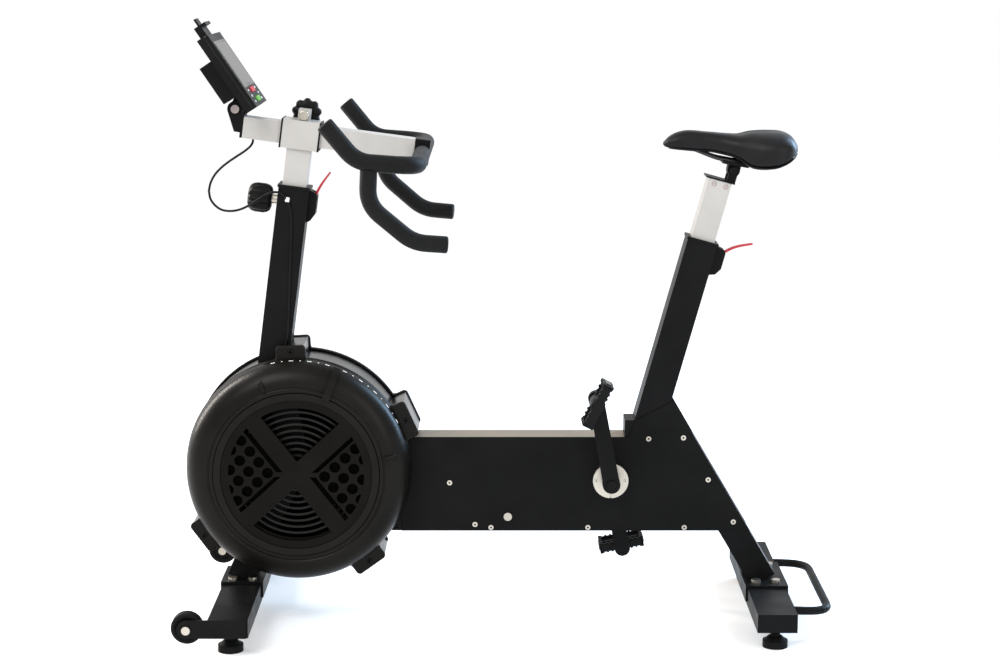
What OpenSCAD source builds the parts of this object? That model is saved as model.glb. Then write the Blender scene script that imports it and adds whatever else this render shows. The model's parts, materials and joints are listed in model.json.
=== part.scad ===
// Upright air-resistance exercise bike.
// Millimetres. X runs from the front wheels (-) to the rear handle (+), Y from the rider's left side (-)
// to the right side (+) as the bike is seen with its front to the left, Z up from the floor.

/* [Frame] */
// Distance from the front stabiliser's centre to the rear stabiliser's centre
wheelbase = 1015; // [1005:1:1025]
// Width of every frame tube, across the bike
tube_w = 60; // [58:1:62]
// Depth of the front post and of the seat tube
tube_d = 58; // [56:1:60]
// Wall of the frame tubes
wall = 3; // [2:0.5:3]
// Height of the main beam
beam_h = 186; // [180:1:190]
// Thickness of the beam's side panels
panel_t = 2.5; // [2:0.5:3]
// Rearward lean of the front post
post_lean = 7.6; // [7:0.1:8]
// Rearward lean of the seat tube
seat_lean = 15.5; // [15:0.1:16]
// Half length of the front stabiliser
front_foot_half = 285; // [270:1:290]
// Half length of the rear stabiliser
rear_foot_half = 254; // [240:1:260]

/* [Air fan] */
// Outer radius of the fan housing
housing_r = 214; // [212:1:216]
// Half width of the fan housing
housing_half = 114; // [112:1:118]
// Radius of the fan wheel
fan_r = 164; // [150:1:166]
// Number of blades
blades = 18; // [12:1:20]
// Radius of the small pulley on the fan wheel
fan_pulley_r = 15; // [14:1:17]

/* [Drive] */
// Centre distance from the crank axle to the pedal spindle
crank_len = 170; // [165:1:175]
// Angle of the near crank above the horizontal, seen from the near side
crank_angle = 100.3; // [99:0.1:102]
// Radius of the crank pulley
crank_pulley_r = 64; // [58:1:65]
// Length of a pedal along the shoe
pedal_len = 98; // [92:1:100]

/* [Handlebar and seat] */
// Depth of the sliding tubes
slider_d = 45; // [44:1:46]
// Width of the sliding tubes
slider_w = 50; // [48:1:50]
// Length of the fore-and-aft stem
stem_len = 325; // [320:1:330]
// Half width of the handlebar at its side bars
bar_half = 272; // [262:1:276]
// Outer radius of the foam grips
grip_r = 16; // [15:0.5:16]
// Radius of the steel handlebar tube
bar_r = 11; // [10:0.5:12]
// Width of the saddle at its rear
saddle_w = 176; // [160:1:190]

/* [Hidden] */
$fn = 48;
EPS = 0.05;
FIT = 0.3;

// frame stations
beam_top = 358;
beam_bot = beam_top - beam_h;
rail_h = 15;
stab_h = 35;
stab_d = 74;
stab_z = 36;
front_x = -513;
wheel_p = [-589.5, 52.5];
rear_x = front_x + wheelbase;
half_w = tube_w / 2;
panel_y = half_w + panel_t;
fan_x = -399;
fan_z = 303;
shoulder = 48;
band_half = 50;
// Each ear of the housing: angle round the fan, and width along the rim
EARS = [[93, 56], [24.5, 72], [216, 66], [-54, 66]];
ear_y = 60;
ear_reach = 26;
lever_angle = 68.5;
grille_r = 143.8;
grille_open_r = 129;
bar_angles = [42.5, 128];
bar_w = 34;
fork_t = 5;
fork_y = half_w;
post_top = [-402.5, 838];
post_len = 352;
seat_top = [372, 735];
seat_tube_len = 395;
crank_x = 200.8;
crank_z = 275.5;
front_leg_lean = 24;
front_leg_foot = [front_x - 6, stab_z + stab_h + 5];
rear_leg_lean = 30.5;
web_t = 5;
// Bolts through the two saddle plates: distance from the stabiliser's centre line, and half spacing
bolt_x = 19;
front_bolt_y = 41;
rear_bolt_y = 58;
// Screws that hold the side panels, and the screw at the front of each fork plate's tail
PANEL_SCREWS = [[-110, 268], [-61, 185], [-30, 179], [158, 179], [345, 179], [274, 355], [341, 357],
                [390, 274], [440, 190]];
tail_screw = [-213, 179.5];

// drive stations
belt_y = 9;
pulley_w = 12;
idler_x = 2.6;
idler_z = 218.5;
idler_bolt = [2.6, 200.6];
idler_r = 14;
arm_y = 68;
arm_t = 16;
axle_r = 10;
axle_r_fan = 6;
spindle_r = 6;
pedal_y = arm_y + arm_t + 10;
pedal_w = 62;
near_pedal_angle = -73;
far_pedal_angle = -11;

// handlebar stations
sleeve_c = post_top + 102.33 * [sin(post_lean), cos(post_lean)];
sleeve_l = 69;
sleeve_h = 54;
pinch = [2, 37];
stem_h = 40;
stem_front = -108.7;
knob_z = -27.5;
lever_z = -14;
post_lever_x = 11;
seat_lever_x = 15.5;
knob_r = 28;
// Axis of the handlebar in the sleeve's frame, measured from the stem's rear end
bar_seat = [15.6, -4.8];

// seat stations
clamp_local = [20, 146.5];
clamp_c = seat_top + [clamp_local[0] * cos(seat_lean) + clamp_local[1] * sin(seat_lean),
                      clamp_local[1] * cos(seat_lean) - clamp_local[0] * sin(seat_lean)];
rail_tilt = 10.5;
rail_y = 22;
saddle_nose = 297;
saddle_len = 251;

// console stations: its foot, its lean and its hinge
console_foot = [-482, 984];
console_lean = -33.8;
console_w = 176;
console_hinge = [-510.6, 988.2];
// Each key's lower edge, half width and height on the console's face
stop_key = [27, 26, 11];
start_key = [7, 26, 11];

// free route of the console cable: from the stem's hole round the loop, to the clip on the post
CABLE_UPPER = [[-480, -6, 932], [-481, -6.5, 924], [-486, -8, 916], [-497, -10, 907], [-511, -13, 898],
               [-526, -16, 888], [-540, -19, 877], [-552, -22, 864], [-560, -25, 849],
               [-562.9, -27.7, 835.5], [-563, -28, 834]];
CABLE_LOWER = [[-562.98, -28.06, 833.7], [-562.9, -28.3, 832.5], [-560, -31, 819], [-551, -34, 807],
               [-538, -37, 799], [-521, -39, 797],
               [-504, -40, 800], [-488, -40, 807], [-473, -40, 816], [-458, -40, 826], [-444, -39, 832],
               [-431, -37, 832], [-421, -35, 826], [-416, -34, 818]];
CABLE_POST = [[-416, -34, 818], [-411, -33, 806], [-408, -32.6, 790], [-408, -32.6, 762], [-410, -32.6, 722],
              [-412, -32.6, 682], [-414, -32.6, 640], [-416, -32.6, 600], [-418, -32.6, 566],
              [-423, -32.6, 536], [-428, -32.6, 508]];
cable_r = 2.2;

// ---------- helpers ----------

// Points of an arc round c, from angle a0 to angle a1
function arc(c, r, a0, a1, n) =
    [for (i = [0 : n]) c + r * [cos(a0 + (a1 - a0) * i / n), sin(a0 + (a1 - a0) * i / n)]];

// A point in the XZ plane, reached from p by going d along the direction a above +X
function polar(p, d, a) = p + d * [cos(a), sin(a)];

function unit(v) = v / norm(v);

// A polyline with its inner corners eased by a curve that starts `ease` before each corner
function eased(p, ease, n) = concat([p[0]],
    [for (i = [1 : len(p) - 2]) let (a = p[i] + ease[i - 1] * unit(p[i - 1] - p[i]),
                                     b = p[i] + ease[i - 1] * unit(p[i + 1] - p[i]))
        for (k = [0 : n]) let (t = k / n) a * (1 - t) * (1 - t) + p[i] * 2 * t * (1 - t) + b * t * t],
    [p[len(p) - 1]]);

// Direction of a path at its point i
function heading(p, i) = unit(p[min(i + 1, len(p) - 1)] - p[max(i - 1, 0)]);

// One ring of points round a path's point, square to the path; ref is never along the path
function ring(p, i, r, ref, sides) = let (t = heading(p, i), u = unit(cross(ref, t)), v = cross(t, u))
    [for (k = [0 : sides - 1]) p[i] + r * (u * cos(360 * k / sides) + v * sin(360 * k / sides))];

// A round bar swept along a path
module sweep(p, r, ref, sides) {
    n = len(p);
    points = [for (i = [0 : n - 1]) each ring(p, i, r, ref, sides)];
    walls = [for (i = [0 : n - 2], k = [0 : sides - 1])
        [i * sides + k, (i + 1) * sides + k, (i + 1) * sides + (k + 1) % sides, i * sides + (k + 1) % sides]];
    first = [[for (k = [0 : sides - 1]) k]];
    last = [[for (k = [sides - 1 : -1 : 0]) (n - 1) * sides + k]];
    polyhedron(points, concat(walls, first, last), convexity = 8);
}

// A 2D shape drawn in X and Z, given a thickness from y0 to y1
module slab(y0, y1) {
    translate([0, y1, 0]) rotate([90, 0, 0]) linear_extrude(y1 - y0) children();
}

// A round bar along Y
module rod_y(p, y0, y1, r) {
    translate([p[0], y0, p[1]]) rotate([-90, 0, 0]) cylinder(h = y1 - y0, r = r);
}

// A profile of radius and distance from the middle plane, turned about an axis along -Y
module turned_y(p) {
    translate([p[0], 0, p[1]]) rotate([90, 0, 0]) rotate_extrude() children();
}

// Moves children to a point in the XZ plane, with their +Z leaning towards +X by a
module lean(p, a) {
    translate([p[0], 0, p[1]]) rotate([0, a, 0]) children();
}

// A box centred in X and Y, from z0 to z1
module box(x, y, z0, z1) {
    translate([-x / 2, -y / 2, z0]) cube([x, y, z1 - z0]);
}

module box_tube(x, y, t, z0, z1) {
    difference() {
        box(x, y, z0, z1);
        box(x - 2 * t, y - 2 * t, z0 - 1, z1 + 1);
    }
}

module both_sides() {
    children();
    mirror([0, 1, 0]) children();
}

// A hexagon-headed screw that lies along +Z, with its head at the origin
module screw(r, head_r, head_h, l) {
    cylinder(h = head_h, r = head_r);
    translate([0, 0, -l]) cylinder(h = l + 1, r = r);
}

// A hand knob with lobes, standing on the origin along +Z
module lobed_knob(r, h, lobes) {
    linear_extrude(h) {
        circle(r = r * 0.84);
        for (i = [0 : lobes - 1]) rotate(360 * i / lobes) translate([r * 0.8, 0]) circle(r = r * 0.2);
    }
}

// ---------- frame ----------

// Hole for the clamping knob's screw, in the post's own frame
module knob_hole() {
    translate([-tube_d / 2 - 5, 0, knob_z]) rotate([0, 90, 0]) cylinder(h = 15, r = 5.06);
}

module front_post() {
    color("#26272b") lean(post_top, post_lean) difference() {
        box_tube(tube_d, tube_w, wall, -post_len, 0);
        knob_hole();
    }
}

// Plate that lies on a stabiliser and folds down over its front and rear faces
module foot_saddle(x, y_half, bolt_y) {
    z = stab_z + stab_h;
    difference() {
        translate([x, 0, 0]) union() {
            box(stab_d + 8, 2 * y_half, z, z + 5);
            for (s = [-1, 1]) translate([s * (stab_d / 2 + 2), 0, 0]) box(4, 2 * y_half, z - 26, z + 1);
        }
        for (s = [-1, 1], t = [-1, 1]) translate([x + s * bolt_x, t * bolt_y, z - 1])
            cylinder(h = 8, r = 5.2);
    }
}

// Fork under the post: two flat plates that hold the fan's axle, and the short leg to the front
// stabiliser with its folded saddle plate
module front_fork() {
    color("#26272b") {
        both_sides() difference() {
            slab(fork_y, fork_y + fork_t) fork_outline();
            rod_y([fan_x, fan_z], 0, 60, axle_r_fan + FIT / 5);
            rod_y(tail_screw, 0, 60, 3.2);
        }
        difference() {
            lean(front_leg_foot, front_leg_lean) box(50, tube_w + 2 * EPS, -2, 66);
            translate([front_x - 60, -50, 0]) cube([120, 100, stab_z + stab_h]);
        }
        foot_saddle(front_x, 57, front_bolt_y);
    }
}

module fork_outline() {
    translate([fan_x, fan_z]) circle(r = 34);
    polygon([[fan_x - 26, fan_z], [fan_x + 22, fan_z], [-419, 503], [-473, 497]]);
    polygon([[fan_x, fan_z - 24], [fan_x, fan_z + 24], [-204, 355], [-204, beam_bot + 2]]);
    polygon([[fan_x + 10, fan_z - 20], [fan_x - 20, fan_z + 10], [-516, 144], [-481, 110]]);
}

// Main beam: a rail along its top, one along its bottom, and two webs that carry the crank bearings
module main_beam() {
    z0 = beam_bot + rail_h;
    color("#2c2d31") {
        difference() {
            union() {
                translate([-224, -half_w, beam_top - rail_h]) cube([467, tube_w, rail_h]);
                translate([-262, -half_w, beam_bot]) cube([663, tube_w, rail_h]);
            }
            rod_y([fan_x, fan_z], -40, 40, fan_r + 14);
        }
        both_sides() difference() {
            translate([crank_x - 48, half_w - web_t, z0 - 1]) cube([96, web_t, beam_h - 2 * rail_h + 2]);
            rod_y([crank_x, crank_z], 0, 60, 24.5);
        }
    }
}

module seat_tube() {
    color("#26272b") {
        difference() {
            lean(seat_top, seat_lean) box_tube(tube_d, tube_w, wall, -seat_tube_len, 0);
            translate([200, -50, 300]) cube([200, 100, beam_top - 300]);
        }
        difference() {
            translate([228, -half_w, beam_top]) cube([24, tube_w, 33]);
            lean(seat_top, seat_lean) box(tube_d - 1, tube_w + 2, -seat_tube_len, 0);
        }
    }
}

// Rear leg from the seat tube's foot down to the rear stabiliser, with its folded saddle plate
module rear_leg() {
    foot = [rear_x - 4, stab_z + stab_h + 5];
    color("#26272b") {
        difference() {
            lean(foot, -rear_leg_lean) box_tube(52, tube_w, wall, -6, 335);
            translate([300, -50, beam_top]) cube([200, 100, 100]);
            translate([400, -50, 0]) cube([200, 100, stab_z + stab_h + 5]);
        }
        foot_saddle(rear_x, 84, rear_bolt_y);
    }
}

// Outline of a beam panel: the beam, the gusset to the seat tube and the slope along the rear leg
module panel_outline() {
    polygon([[-203.5, beam_bot], [-203.5, beam_top], [236, beam_top], [248, 391], [321, 429],
             [366, 352], [472.5, beam_bot]]);
}

module side_panel() {
    difference() {
        slab(half_w + EPS, panel_y) panel_outline();
        rod_y([crank_x, crank_z], 0, 60, 24.5);
        for (p = PANEL_SCREWS) rod_y(p, 0, 60, 3.2);
    }
}

module side_panel_right() {
    color("#1d1e21") side_panel();
}

module side_panel_left() {
    color("#1d1e21") difference() {
        mirror([0, 1, 0]) side_panel();
        rod_y(idler_bolt, -60, 0, 5.2);
    }
}

// Panel, fork, bearing-housing and fan-housing screws, the idler's bolt, the bolts through the two
// saddle plates, and the transport wheels' axle bolts with their nuts
module frame_fasteners() {
    z = stab_z + stab_h + 5;
    color("#b9b9bb") {
        both_sides() {
            for (p = PANEL_SCREWS) rod_screw(p, panel_y, 5, 2.2, 3, 2.4);
            rod_screw(tail_screw, fork_y + fork_t, 5, 2.2, 3, 4.9);
            for (s = [-1, 1]) rod_screw([crank_x + s * 28, crank_z], 50, 3.4, 1.6, 1.6, 14);
            for (e = EARS) rod_screw(ear_screw(e), ear_y, 5.5, 3, 3, 22);
        }
        mirror([0, 1, 0]) rod_screw(idler_bolt, panel_y, 8, 3.5, 5, panel_y + 6);
        slab(1, 6) union() {
            translate(idler_bolt) circle(r = 9);
            translate([idler_x - 7, idler_bolt[1]]) square([14, idler_z - idler_bolt[1]]);
            translate([idler_x, idler_z]) circle(r = 7);
        }
        rod_y([idler_x, idler_z], 5, belt_y + pulley_w + 2, 5);
        for (s = [-1, 1], t = [-1, 1]) {
            translate([front_x + s * bolt_x, t * front_bolt_y, z]) screw(5, 9, 6, 20);
            translate([rear_x + s * bolt_x, t * rear_bolt_y, z]) screw(5, 9, 6, 20);
        }
        both_sides() {
            rod_y(wheel_p, 252, front_foot_half + 5, 5);
            rod_y(wheel_p, front_foot_half + 4, front_foot_half + 9, 8);
            rod_y(wheel_p, 246, 253, 8);
        }
    }
}

// Place of the screw through an ear of the fan housing
function ear_screw(e) = polar([fan_x, fan_z], housing_r + 13, e[0]);

// A pan-head screw that points towards the middle plane, with its head's seat at y
module rod_screw(p, y, head_r, head_h, r, l) {
    translate([p[0], y, p[1]]) rotate([-90, 0, 0]) screw(r, head_r, head_h, l);
}

module front_stabiliser() {
    color("#26272b") {
        difference() {
            translate([front_x, 0, 0]) box(stab_d, 2 * front_foot_half, stab_z, stab_z + stab_h);
            foot_holes(front_x, front_bolt_y, front_foot_half - 40);
        }
        both_sides() difference() {
            slab(front_foot_half, front_foot_half + 4) union() {
                translate(wheel_p) circle(r = 17.5);
                translate([wheel_p[0], 36.2]) square([-wheel_p[0] + front_x + stab_d / 2 - 3, 34.6]);
            }
            rod_y(wheel_p, 200, 300, 5.1);
        }
    }
}

// Holes for the saddle plate's bolts and for the levelling feet
module foot_holes(x, bolt_y, foot_y) {
    for (s = [-1, 1], t = [-1, 1]) translate([x + s * bolt_x, t * bolt_y, stab_z + stab_h - 18])
        cylinder(h = 20, r = 5.1);
    for (t = [-1, 1]) translate([x, t * foot_y, stab_z - 1]) cylinder(h = 25, r = 5.1);
}

// Rear stabiliser with the lifting handle welded to its back
module rear_stabiliser() {
    x0 = rear_x + stab_d / 2 - 1;
    handle = eased([[x0, -164, 52], [612, -164, 50], [612, 164, 50], [x0, 164, 52]], [46, 46], 7);
    color("#26272b") {
        difference() {
            translate([rear_x, 0, 0]) box(stab_d, 2 * rear_foot_half, stab_z, stab_z + stab_h);
            foot_holes(rear_x, rear_bolt_y, rear_foot_half - 34);
        }
        sweep(handle, 8, [0, 0, 1], 12);
    }
}

module transport_wheel(s) {
    color("#1b1b1c") difference() {
        rod_y(wheel_p, s * 269.5 - 12, s * 269.5 + 12, 29.5);
        rod_y(wheel_p, s * 269.5 - 20, s * 269.5 + 20, 5.08);
        for (e = [-1, 1]) translate([wheel_p[0], s * 269.5 + e * 12, wheel_p[1]]) rotate([90, 0, 0])
            difference() {
                cylinder(h = 5, r = 22, center = true);
                cylinder(h = 6, r = 11, center = true);
            }
    }
}

module transport_wheel_left() {
    transport_wheel(-1);
}

module transport_wheel_right() {
    transport_wheel(1);
}

// Levelling foot: a rubber pad on a threaded stem
module levelling_foot(x, y) {
    color("#1b1b1c") translate([x, y, 0]) {
        cylinder(h = 13, r = 23.5);
        translate([0, 0, 12.9]) cylinder(h = 8, r1 = 21, r2 = 13, $fn = 48);
        translate([0, 0, 20.8]) cylinder(h = 5, r = 9);
        translate([0, 0, 25.7]) cylinder(h = 30, r = 5);
    }
}

module foot_front_left() {
    levelling_foot(front_x, -(front_foot_half - 40));
}

module foot_front_right() {
    levelling_foot(front_x, front_foot_half - 40);
}

module foot_rear_left() {
    levelling_foot(rear_x, -(rear_foot_half - 34));
}

module foot_rear_right() {
    levelling_foot(rear_x, rear_foot_half - 34);
}

// ---------- air fan ----------

// Wall of a housing half, as radius and distance from the middle plane
module shell_profile() {
    c = [housing_r - shoulder, housing_half - shoulder];
    polygon(concat([[housing_r, band_half + 0.2]], arc(c, shoulder, 0, 90, 12), [[158, housing_half]],
                   [[158, housing_half - 3]], arc(c, shoulder - 3, 90, 0, 12),
                   [[housing_r - 3, band_half + 0.2]]));
}

// Space that the post, the beam and the front leg take through the housing's rim
module frame_passage() {
    g = half_w + fork_t + 0.8;
    lean(post_top, post_lean) box(tube_d + 2, 2 * g, -post_len - 10, 0);
    translate([-250, -g, beam_bot - 1]) cube([150, 2 * g, beam_h + 2]);
    lean(front_leg_foot, front_leg_lean) box(53, 2 * g, 0, 80);
}

module fan_shell_right() {
    color("#202024") difference() {
        union() {
            mirror([0, 1, 0]) turned_y([fan_x, fan_z]) shell_profile();
            for (e = EARS) ear(e, band_half + 0.2, ear_y, 0);
        }
        frame_passage();
        for (e = EARS) rod_y(ear_screw(e), 40, 64, 3.1);
    }
}

// Rim band between the two housing halves, open where the post, the beam and the leg come through,
// with a hollow bridge from each ear to the one behind it
module fan_band() {
    color("#2a2b2f") difference() {
        union() {
            rod_y([fan_x, fan_z], -band_half, band_half, housing_r - 3.2);
            for (e = EARS) ear(e, 0.6 - band_half, band_half - 0.6, 3);
        }
        rod_y([fan_x, fan_z], -60, 60, housing_r - 6);
        for (e = EARS) ear(e, 3 - band_half, band_half - 3, 6);
        frame_passage();
        for (e = EARS) rod_y(ear_screw(e), -60, 60, 3.1);
    }
}

// An ear on the housing's rim, or the bridge behind it, from y0 to y1 and drawn in by e
module ear(size, y0, y1, e) {
    w = size[1] - 2 * e;
    translate([fan_x, 0, fan_z]) rotate([0, -size[0], 0]) translate([housing_r - 6 - e, y0, -w / 2])
        cube([ear_reach + 6, y1 - y0, w]);
}

module fan_shell_left() {
    color("#202024") mirror([0, 1, 0]) fan_shell_right();
}

// A bar of the grille through its centre, at an angle above the horizontal
module grille_bar(a, w, l) {
    rotate(a) square([l, w], center = true);
}

// Front grille: a frame ring, two crossed bars and two honeycomb sectors
module grille_outline() {
    difference() {
        circle(r = grille_r);
        circle(r = grille_open_r);
    }
    for (a = bar_angles) grille_bar(a, bar_w, 2 * grille_open_r + 6);
    for (s = [0, 180]) rotate(s) translate([14, -5]) square([28, 9]);
    difference() {
        intersection() {
            circle(r = grille_open_r + 2);
            for (s = [0, 180]) rotate(s) honeycomb_sector();
        }
        honeycomb_holes();
    }
}

// One side's sector, with a slot between it and each bar
module honeycomb_sector() {
    apex = [35, -2];
    polygon([apex, polar(apex, 170, bar_angles[0]), polar(apex, 190, 0),
             polar(apex, 170, bar_angles[1] - 180)]);
}

// Holes in rows along the two bars, cut off by the ring where they reach it
module honeycomb_holes() {
    pitch = 26.6;
    u = pitch * [cos(bar_angles[0]), sin(bar_angles[0])];
    v = pitch * [cos(bar_angles[1] - 180), sin(bar_angles[1] - 180)];
    for (s = [1, -1], i = [0 : 4], j = [0 : 4]) {
        c = s * ([54, -3.5] + i * u + j * v);
        if (norm(c) < grille_open_r + 4) translate(c) circle(r = 10.4, $fn = 24);
    }
}

module fan_grilles() {
    color("#232327") both_sides() translate([fan_x, 0, fan_z]) slab(housing_half - 5, housing_half - 0.5)
        grille_outline();
}

// Ring guards inside the grilles, held by four spokes
module fan_guards() {
    color("#17181a") both_sides() translate([fan_x, 0, fan_z]) {
        slab(92, 96) difference() {
            circle(r = 194);
            circle(r = 140);
        }
        slab(92, 96) for (i = [0 : 9]) difference() {
            circle(r = 24 + 12 * i);
            circle(r = 20 + 12 * i);
        }
        slab(88, 92.2) for (a = [45, 135]) rotate(a) square([330, 6], center = true);
        rod_y([0, 0], 92, housing_half - 5, 12);
    }
}

// Damper: a turning ring round the grille, with shutter sectors behind it and an adjusting lever
module damper_ring() {
    y1 = housing_half + 1.5;
    color("#232327") mirror([0, 1, 0]) translate([fan_x, 0, fan_z]) {
        slab(101, y1) difference() {
            circle(r = 157.4);
            circle(r = 154.6);
        }
        slab(housing_half - 3, y1) difference() {
            circle(r = 157.4);
            circle(r = grille_r + 0.6);
        }
        slab(101, 103) difference() {
            for (a = [0, 180]) rotate(a) polygon(concat([[0, 0]], arc([0, 0], 156, -40, 32, 12)));
            circle(r = 18);
        }
        slab(101, 103) difference() {
            circle(r = 156);
            circle(r = 138);
        }
        damper_lever();
    }
}

// Lever that follows the housing's rounded shoulder outwards from the ring
module damper_lever() {
    rotate([0, -lever_angle, 0]) translate([0, 0, -7]) linear_extrude(14)
        lever_section([housing_r - shoulder, housing_half - shoulder]);
}

// Side view of the lever, as radius and height, round the shoulder's centre c
module lever_section(c) {
    polygon(concat([[155, housing_half + 0.5], [155, housing_half + 6], [c[0], housing_half + 6]],
                   arc(c, 54, 88, 22, 8), arc(c, 49, 22, 88, 8), [[c[0], housing_half + 0.5]]));
}

module fan_wheel() {
    color("#8f9296") difference() {
        union() {
            rod_y([fan_x, fan_z], -28, 7, 23);
            rod_y([fan_x, fan_z], 3.5, 6, fan_r);
            translate([fan_x, 0, fan_z]) slab(-27, -24.5) difference() {
                circle(r = fan_r);
                circle(r = fan_r - 16);
            }
            for (i = [0 : blades - 1]) translate([fan_x, 0, fan_z]) rotate([0, 360 * i / blades, 0])
                translate([66, -26, -1]) cube([fan_r - 72, 30, 2]);
        }
        rod_y([fan_x, fan_z], -40, 40, 8);
        for (y = [-28, -1]) rod_y([fan_x, fan_z], y, y + 8, 14);
    }
}

// Grooved belt pulley with rims, turning about an axis along Y
module pulley(p, r, hole_r, rim) {
    difference() {
        union() {
            rod_y(p, belt_y, belt_y + pulley_w, r);
            for (y = [belt_y - 1.5, belt_y + pulley_w]) rod_y(p, y, y + 1.5, r + rim);
        }
        rod_y(p, 0, 60, hole_r);
    }
}

module fan_pulley() {
    color("#9a9da1") {
        pulley([fan_x, fan_z], fan_pulley_r, 8, 3);
        difference() {
            rod_y([fan_x, fan_z], 7.1, belt_y, 16);
            rod_y([fan_x, fan_z], 0, 60, 8);
        }
    }
}

// Fixed axle of the fan with a nut outside each fork plate
module fan_axle() {
    color("#b0b2b5") {
        rod_y([fan_x, fan_z], -46, 46, 6);
        for (y = [-44, fork_y + fork_t]) rod_y([fan_x, fan_z], y, y + 9, 10);
    }
}

// Ball bearings, drawn as closed rings: two on the fan axle and two in the crank housings
module bearings() {
    color("#c4c6c8") {
        for (y = [-28, -1]) difference() {
            rod_y([fan_x, fan_z], y, y + 8, 13.94);
            rod_y([fan_x, fan_z], y - 1, y + 9, axle_r_fan + 0.02);
        }
        for (s = [-1, 1]) difference() {
            rod_y([crank_x, crank_z], s * 41 - 6, s * 41 + 6, 17.4);
            rod_y([crank_x, crank_z], s * 41 - 8, s * 41 + 8, axle_r + 0.06);
        }
    }
}

// Bearing housings: thick discs on the panels, each with a spigot through the panel into the web
module bearing_housings() {
    color("#c9c7c2") both_sides() difference() {
        union() {
            rod_y([crank_x, crank_z], panel_y + EPS, 50, 34);
            rod_y([crank_x, crank_z], half_w - web_t, panel_y + 1, 24.3);
        }
        rod_y([crank_x, crank_z], 34.8, 60, 17.4);
        rod_y([crank_x, crank_z], 0, 60, 12);
        for (s = [-1, 1]) rod_y([crank_x + s * 28, crank_z], 30, 60, 1.7);
        translate([crank_x - 1.5, 46, crank_z - 36]) cube([3, 6, 18]);
    }
}

// ---------- drive ----------

module crank_axle() {
    color("#8d9094") {
        rod_y([crank_x, crank_z], -(arm_y + arm_t), arm_y + arm_t, axle_r);
        both_sides() rod_y([crank_x, crank_z], arm_y + arm_t, arm_y + arm_t + 4, 9);
    }
}

// A crank arm that points along +X before it is turned to its angle
module crank_arm(a) {
    translate([crank_x, 0, crank_z]) difference() {
        slab(arm_y, arm_y + arm_t) rotate(a) {
            circle(r = 17);
            translate([crank_len, 0]) circle(r = 15.5);
            polygon([[0, -16], [crank_len, -14.5], [crank_len, 14.5], [0, 16]]);
        }
        rod_y([0, 0], 0, 100, axle_r + 0.02);
        rod_y(polar([0, 0], crank_len, a), 0, 100, spindle_r + 1.02);
    }
}

module crank_left() {
    color("#1f2022") mirror([0, 1, 0]) crank_arm(crank_angle);
}

module crank_right() {
    color("#1f2022") crank_arm(crank_angle + 180);
}

module crank_pulley() {
    color("#3b3d40") difference() {
        pulley([crank_x, crank_z], crank_pulley_r, axle_r + 0.02, 2.5);
        for (i = [0 : 5]) rod_y(polar([crank_x, crank_z], 38, 60 * i), 0, 60, 11);
    }
}

// Points of the belt loop's outline, e beyond the pulleys' faces
function belt_loop(e) = let (d = [crank_x - fan_x, crank_z - fan_z],
                             tilt = atan2(d[1], d[0]),
                             lift = acos((fan_pulley_r - crank_pulley_r) / norm(d)))
    concat(arc([fan_x, fan_z], fan_pulley_r + e, tilt + lift, tilt + 360 - lift, 20),
           arc([crank_x, crank_z], crank_pulley_r + e, tilt - lift, tilt + lift, 40));

module drive_belt() {
    color("#141414") slab(belt_y + 1, belt_y + pulley_w - 1) difference() {
        polygon(belt_loop(2.6));
        polygon(belt_loop(0.5));
    }
}

module belt_idler() {
    color("#3b3d40") difference() {
        rod_y([idler_x, idler_z], belt_y, belt_y + pulley_w, idler_r);
        rod_y([idler_x, idler_z], 0, 60, 5.06);
    }
}

// ---------- pedals ----------

// Centre of the pedal on a crank that stands at angle a
function pedal_axis(a) = polar([crank_x, crank_z], crank_len, a);

module pedal_spindle() {
    rod_y([0, 0], arm_y, pedal_y - 4, spindle_r + 1);
    rod_y([0, 0], arm_y + arm_t + 0.2, pedal_y - 2, 9);
    rod_y([0, 0], pedal_y - 5, pedal_y + pedal_w - 6, spindle_r);
}

module pedal_spindles() {
    near_pedal = pedal_axis(crank_angle);
    far_pedal = pedal_axis(crank_angle + 180);
    color("#9a9da1") {
        mirror([0, 1, 0]) translate([near_pedal[0], 0, near_pedal[1]]) pedal_spindle();
        translate([far_pedal[0], 0, far_pedal[1]]) pedal_spindle();
    }
}

// Cage pedal: a barrel on the spindle, a frame of side rails, and end plates with raised edges
module pedal(angle) {
    y0 = pedal_y;
    y1 = pedal_y + pedal_w;
    l = pedal_len / 2;
    rotate([0, angle, 0]) difference() {
        union() {
            rod_y([0, 0], y0, y1, 12);
            for (y = [y0, y1 - 6]) translate([-l, y, -8]) cube([2 * l, 6, 16]);
            for (s = [-1, 1]) translate([s * (l - 3) - 3, y0, -12]) cube([6, pedal_w, 24]);
            translate([-l, (y0 + y1) / 2 - 3, -5]) cube([2 * l, 6, 10]);
        }
        rod_y([0, 0], y0 - 1, y1 - 4, spindle_r + 0.06);
    }
}

module pedal_left() {
    p = pedal_axis(crank_angle);
    color("#242527") mirror([0, 1, 0]) translate([p[0], 0, p[1]]) pedal(near_pedal_angle);
}

module pedal_right() {
    p = pedal_axis(crank_angle + 180);
    color("#242527") translate([p[0], 0, p[1]]) pedal(far_pedal_angle);
}

// ---------- handlebar ----------

// Lip and liner in a tube's mouth, that guide the sliding tube
module guide_collar() {
    difference() {
        union() {
            box(tube_d + 4, tube_w + 4, 0, 5);
            box(tube_d - 2 * wall - 0.1, tube_w - 2 * wall - 0.1, -60, 1);
        }
        box(slider_d + 2 * FIT, slider_w + 2 * FIT, -70, 10);
    }
}

// Collar of the front post, with its block for the lever behind
module post_clamp() {
    color("#1b1c1f") lean(post_top, post_lean) {
        difference() {
            guide_collar();
            knob_hole();
        }
        translate([tube_d / 2 + EPS, 0, 0]) clamp_block(63, 16, post_lever_x);
    }
}

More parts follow.
